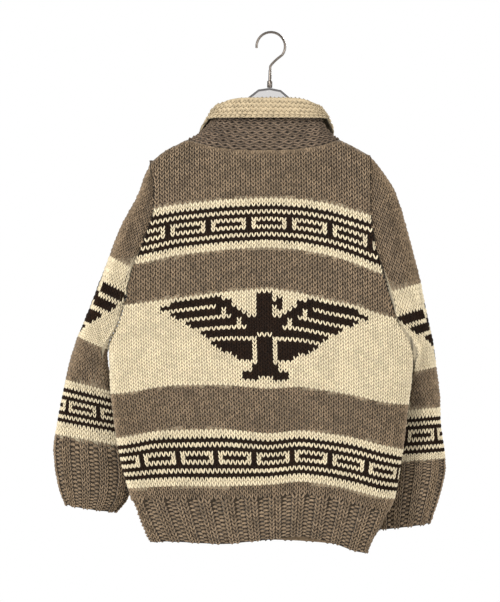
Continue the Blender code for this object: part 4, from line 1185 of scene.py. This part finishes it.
def collar_columns():
    """(side of the body, share toward the front end, neck seam x, panel side, lift) of each column."""
    sides = []
    for body_side in (1.0, -1.0):
        end = math.acos((CENTRE_FRONT + body_side * BAND_HALF - NECK_X) / NECK_HALF)
        turns = np.linspace(0.0 if body_side > 0.0 else math.pi, end, 7)[1:]
        front = []
        for i, turn in enumerate(turns, 1):
            x = NECK_X + NECK_HALF * math.cos(turn)
            lift = float(left_lift(np.array(x), -1.0))
            front.append((body_side, COLLAR_SHOULDER + (1.0 - COLLAR_SHOULDER) * i / 6.0, x, -1.0, lift))
        sides.append(front)
    back = []
    for i, turn in enumerate(np.linspace(0.0, math.pi, 17)):
        off_middle = 1.0 - i / 8.0
        back.append((1.0 if off_middle >= 0.0 else -1.0, COLLAR_SHOULDER * abs(off_middle),
                     NECK_X + NECK_HALF * math.cos(turn), 1.0, 0.0))
    return sides[0][::-1] + back + sides[1]


def collar_sections(rows):
    """Middle surface of the folded collar, the way to its outer side, and how far up the fold lies."""
    lines = []
    for body_side, share, x, panel_side, lift in collar_columns():
        middle = COLLAR_BACK_X + (CENTRE_FRONT - COLLAR_BACK_X) * float(smooth((share - 0.5) / 0.5))
        fold, edge = [np.array([middle + body_side * along(COLLAR, share, first),
                                along(COLLAR, share, first + 1) - lift, along(COLLAR, share, first + 2)])
                      for first in (1, 4)]
        outer = neck_edge_point(x, panel_side, 0.0) - (0.0, lift, 0.0)
        inner = neck_edge_point(x, panel_side, WALL) - (0.0, lift, 0.0)
        lines.append((outer, inner, fold, edge, along(COLLAR, share, 7)))
    sections = []
    for number, (outer, inner, fold, edge, sag) in enumerate(lines):
        before = lines[max(number - 1, 0)]
        after = lines[min(number + 1, len(lines) - 1)]
        tangent = unit(unit(before[0] - after[0]) + unit(before[2] - after[2]))
        along_seam = unit(before[0] - after[0])
        rise = unit(fold - 0.5 * (outer + inner))
        seam = 0.5 * (outer + inner) - COLLAR_TUCK * unit(rise - along_seam * np.dot(rise, along_seam))
        out = unit(np.cross(rise, tangent))
        top = fold - rise * (COLLAR_TURN + 0.5 * COLLAR_WALL)
        centre = top + out * COLLAR_TURN
        drop = unit(edge - centre - out * COLLAR_TURN)
        bend = math.pi - math.atan2(np.dot(drop, out), -np.dot(drop, rise))
        places = []
        ways = []
        for t in np.linspace(0.0, 1.0, STAND_STEPS + 1)[:-1]:
            lean = float(smooth(t / STAND_LEAN))
            places.append(seam + (top - seam) * t - out * sag * 4.0 * t * (1.0 - t))
            ways.append(unit(unit(outer - inner) * (1.0 - lean) + out * lean))
        for share in np.linspace(0.0, 1.0, 9)[:-1]:
            spoke = rise * math.sin(bend * share) - out * math.cos(bend * share)
            places.append(centre + spoke * COLLAR_TURN)
            ways.append(-spoke)
        spoke = rise * math.sin(bend) - out * math.cos(bend)
        hang = centre + spoke * COLLAR_TURN
        fall = unit(edge - hang)
        fall_out = unit(spoke - fall * np.dot(spoke, fall))
        for t in np.linspace(0.0, 1.0, 11):
            places.append(hang + (edge - hang) * t)
            ways.append(-fall_out)
        lengths = lengths_along(np.array(places))
        at = np.linspace(0.0, lengths[-1], rows)
        sections.append((between(at, lengths, np.array(places)), between(at, lengths, np.array(ways)),
                         lengths[STAND_STEPS] / lengths[-1]))
    return [np.array([section[k] for section in sections]) for k in range(3)]


def curved(values, at):
    """Values along their first axis at fractions of its steps, on a smooth curve through them."""
    i = np.clip(at.astype(int), 0, len(values) - 2)
    t = (at - i).reshape(-1, *[1] * (values.ndim - 1))
    p1 = values[i]
    p2 = values[i + 1]
    p0 = values[np.maximum(i - 1, 0)]
    p3 = values[np.minimum(i + 2, len(values) - 1)]
    return 0.5 * (2.0 * p1 + (p2 - p0) * t + (2.0 * p0 - 5.0 * p1 + 4.0 * p2 - p3) * t ** 2
                  + (3.0 * p1 - p0 - 3.0 * p2 + p3) * t ** 3)


def collar_cells(points, normals, rows, proud, across, shift):
    """A row of cells between each two lines of rows, moved by a share of a column."""
    count = points.shape[0] - 1
    columns = np.clip(np.arange(across + 1.0) + shift, 0.0, across) * count / across
    grid = []
    for values in (points, normals):
        lines = curved(values, columns)
        at = rows * (values.shape[1] - 1)
        grid.append(np.swapaxes(curved(np.swapaxes(lines, 0, 1), at), 0, 1))
    corners, ways = [
        np.stack((g[:-1, :-1], g[1:, :-1], g[1:, 1:], g[:-1, 1:]), 2).reshape(-1, 4, 3) for g in grid]
    number = np.arange(len(corners))
    return Cells(corners, ways, number // (len(rows) - 1), number % (len(rows) - 1), proud=proud)


def make_collar():
    rows = 61
    places, ways, folds = collar_sections(rows)
    at = np.linspace(0.0, len(places) - 1.0, COLLAR_COLUMNS + 1)
    places = curved(places, at)
    ways = curved(ways, at)
    ways /= np.linalg.norm(ways, axis=-1, keepdims=True)
    fold = float(folds.mean())
    half = 0.5 * COLLAR_WALL
    outer = places + ways * (half - SINK)
    inner = places - ways * (half - SINK)
    share = np.broadcast_to(np.linspace(0.0, 1.0, rows), places.shape[:2])
    yarns = np.where(share > fold - 0.03, CREAM, BROWN)
    wall = make_wall("collar_cloth", outer, inner, yarns, SHADED_COLLAR_WOOLS, False)
    ridges = STAND_RIDGES + FALL_RIDGES + 2
    groups = []
    for points, normals, last in ((outer, ways, 0.98 * fold), (inner, -ways, 1.0)):
        for half_row in range(2 * ridges):
            row = half_row // 2
            between = half_row % 2
            low = 0.5 * half_row / ridges
            high = low + 1.0 / ridges
            pale = low > fold - 0.03
            if high > last + 0.001 or between and pale:
                continue
            form = CAST_OFF if row == ridges - 1 else LOOP if pale else GARTER
            across, shift = (FALL_COLUMNS, 0.0) if pale else (STAND_COLUMNS, 0.5 * ((row + between) % 2))
            cells = collar_cells(points, normals, np.array((low, high)), 0.6 if between else 1.0, across, shift)
            cells.yarn = np.full(len(cells.corners), CREAM if pale else BROWN)
            groups.append((form, cells))
    make_knitting("collar", groups, SHADED_COLLAR_WOOLS)


# ---------------------------------------------------------------- buttons
def select_faces(button, wanted):
    """Selects the faces whose middle point passes wanted, in edit mode."""
    shape = bmesh.from_edit_mesh(button.data)
    for face in shape.faces:
        face.select_set(bool(wanted(face.calc_center_median())))
    bmesh.update_edit_mesh(button.data)


def begin_turning(name, vertices, radius, tall, foot):
    """A cylinder that stands at the height foot, left in edit mode."""
    bpy.ops.object.select_all(action="DESELECT")
    bpy.ops.mesh.primitive_cylinder_add(vertices=vertices, radius=radius * MM, depth=tall * MM,
                                        location=(0.0, 0.0, (foot + 0.5 * tall) * MM))
    piece = bpy.context.object
    piece.name = name
    piece.data.name = name
    bpy.ops.object.transform_apply(location=True)
    bpy.ops.object.mode_set(mode="EDIT")
    bpy.ops.mesh.select_mode(type="FACE")
    return piece


def end_turning():
    bpy.ops.mesh.select_all(action="DESELECT")
    bpy.ops.object.mode_set(mode="OBJECT")


def round_edges(piece, width):
    """Bevels the sharp edges and applies all modifiers."""
    edge = piece.modifiers.new("edges", "BEVEL")
    edge.width = width * MM
    edge.segments = 3
    edge.limit_method = "ANGLE"
    edge.angle_limit = SHARP
    bpy.context.view_layer.objects.active = piece
    for modifier in list(piece.modifiers):
        bpy.ops.object.modifier_apply(modifier=modifier.name)


def finish_turning(piece, material, node_name):
    bpy.ops.object.shade_smooth_by_angle(angle=SHARP)
    piece.data.materials.append(material)
    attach(piece, "root")
    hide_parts(node_name)


def make_button(number):
    """A turned wooden button: raised rim, dished face and four holes."""
    button = begin_turning(f"wooden_button_{number}", 64, BUTTON_RADIUS, BUTTON_THICK, 0.0)
    top = 0.999 * BUTTON_THICK * MM
    select_faces(button, lambda middle: middle.z > top)
    for within, height in BUTTON_FACE:
        bpy.ops.mesh.inset(thickness=within * MM)
        bpy.ops.transform.translate(value=(0.0, 0.0, height * MM))
    select_faces(button, lambda middle: middle.z < 0.00001)
    bpy.ops.mesh.inset(thickness=0.8 * MM)
    end_turning()
    drills = []
    for quarter in range(4):
        turn = (0.5 + quarter) * 0.5 * math.pi
        bpy.ops.mesh.primitive_cylinder_add(
            vertices=24, radius=BUTTON_HOLE * MM, depth=4.0 * BUTTON_THICK * MM,
            location=(BUTTON_HOLES_AT * math.cos(turn) * MM, BUTTON_HOLES_AT * math.sin(turn) * MM, 0.0))
        drills.append(bpy.context.object)
    for drill in drills:
        hole = button.modifiers.new("hole", "BOOLEAN")
        hole.operation = "DIFFERENCE"
        hole.solver = "EXACT"
        hole.object = drill
    round_edges(button, 0.35)
    for drill in drills:
        mesh = drill.data
        bpy.data.objects.remove(drill)
        bpy.data.meshes.remove(mesh)
    z = BUTTON_TOP_Z + (BUTTON_LOW_Z - BUTTON_TOP_Z) * (number - 1) / (BUTTONS - 1.0)
    high, low, middle = [float(body_depth(np.array(CENTRE_FRONT), np.array(z + by), 0.0, -1.0))
                         for by in (BUTTON_RADIUS, -BUTTON_RADIUS, 0.0)]
    depth = max(0.5 * (low + high), middle) + BAND_LIFT + 2.0 * GAP
    button.rotation_euler = (0.5 * math.pi - math.atan2(low - high, 2.0 * BUTTON_RADIUS), 0.0, 0.0)
    button.location = (CENTRE_FRONT * MM, -depth * MM, z * MM)
    bpy.ops.object.select_all(action="DESELECT")
    button.select_set(True)
    bpy.context.view_layer.objects.active = button
    bpy.ops.object.transform_apply(location=True, rotation=True)
    finish_turning(button, button_wood, f"button_{number}")


def make_ferrule():
    """A turned metal sleeve: a narrow neck that the wire runs into, and a wide foot on the hanger."""
    ferrule = begin_turning("turned_ferrule", 48, FERRULE_RADIUS, FERRULE_FOOT, FERRULE_LOW_Z)
    top = (FERRULE_LOW_Z + FERRULE_FOOT - 0.01) * MM
    select_faces(ferrule, lambda middle: middle.z > top)
    bpy.ops.mesh.inset(thickness=(FERRULE_RADIUS - FERRULE_NECK) * MM)
    rise = FERRULE_TOP_Z - FERRULE_LOW_Z - FERRULE_FOOT
    bpy.ops.mesh.extrude_region_move(TRANSFORM_OT_translate={"value": (0.0, 0.0, rise * MM)})
    end_turning()
    round_edges(ferrule, 0.6)
    ferrule.rotation_euler = (0.0, -TILT, 0.0)
    bpy.ops.object.transform_apply(rotation=True)
    finish_turning(ferrule, hook_metal, "hanger_ferrule")


# ---------------------------------------------------------------- everything is made here
make_panel("back", 1.0, (-FAR, FAR), back_chart, 12, (97, 121))
make_fronts()
make_band("band_right", 0.0)
make_band("band_left", BAND_LIFT)
make_sleeve("sleeve_left", SLEEVE_LEFT, 1.0, 1)
make_sleeve("sleeve_right", SLEEVE_RIGHT, -1.0, 2)
make_collar()
for button_number in range(1, BUTTONS + 1):
    make_button(button_number)
make_ferrule()

for node_name, finish, slot_name in (("hanger_body", clear_plastic, "clear_plastic"),
                                     ("hanger_hook", hook_metal, "hook_metal")):
    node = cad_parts[node_name]
    node.material_slots[0].material = finish


# ---------------------------------------------------------------- floor, light and camera
def make_floor():
    material, shader = principled("floor_paint", Roughness=0.9)
    tree = material.node_tree
    mottle = noise(tree, object_place(tree), Scale=3.0, Detail=2.0)
    feed(tree, tinted(tree, mottle, ((0.86, 0.86, 0.86), (0.90, 0.90, 0.89))), shader, "Base Color")
    bpy.ops.mesh.primitive_circle_add(vertices=96, radius=2.8, fill_type="NGON", location=(0.0, 0.0, FLOOR_Z))
    floor = bpy.context.object
    floor.name = "floor"
    floor.data.materials.append(material)


def make_light(name, place, size, energy):
    lamp = bpy.data.lights.new(name, "AREA")
    lamp.shape = "DISK"
    lamp.size = size
    lamp.energy = energy
    light = bpy.data.objects.new(name, lamp)
    light.location = place
    target = Vector((0.02, 0.0, -0.45))
    light.rotation_euler = (target - light.location).to_track_quat("-Z", "Y").to_euler()
    bpy.context.scene.collection.objects.link(light)


make_floor()
make_light("key", (1.5, 3.0, 0.7), 1.0, 140.0)
make_light("fill", (-2.2, 2.6, -0.2), 1.8, 52.0)
make_light("front_key", (-1.5, -2.8, 0.8), 1.2, 130.0)
world = bpy.data.worlds.new("pale_room")
world.use_nodes = True
room = world.node_tree
rays = add(room, "ShaderNodeLightPath")
seen = ranged(room, (rays, "Is Camera Ray"), To_Min=ROOM_LIGHT, To_Max=1.0)
feed(room, seen, room.nodes["Background"], "Strength")
room.nodes["Background"].inputs["Color"].default_value = (1.0, 1.0, 1.0, 1.0)
bpy.context.scene.world = world
bpy.context.scene.view_settings.view_transform = "Standard"

camera = bpy.data.cameras.new("view")
camera.lens = 36.0 * CAMERA_AWAY / VIEW_TALL
camera.sensor_width = 36.0
camera.clip_end = 40.0
viewer = bpy.data.objects.new("view", camera)
viewer.location = (VIEW_X * MM, CAMERA_AWAY, VIEW_Z * MM)
viewer.rotation_euler = (0.5 * math.pi, 0.0, math.pi)
bpy.context.scene.collection.objects.link(viewer)
bpy.context.scene.camera = viewer
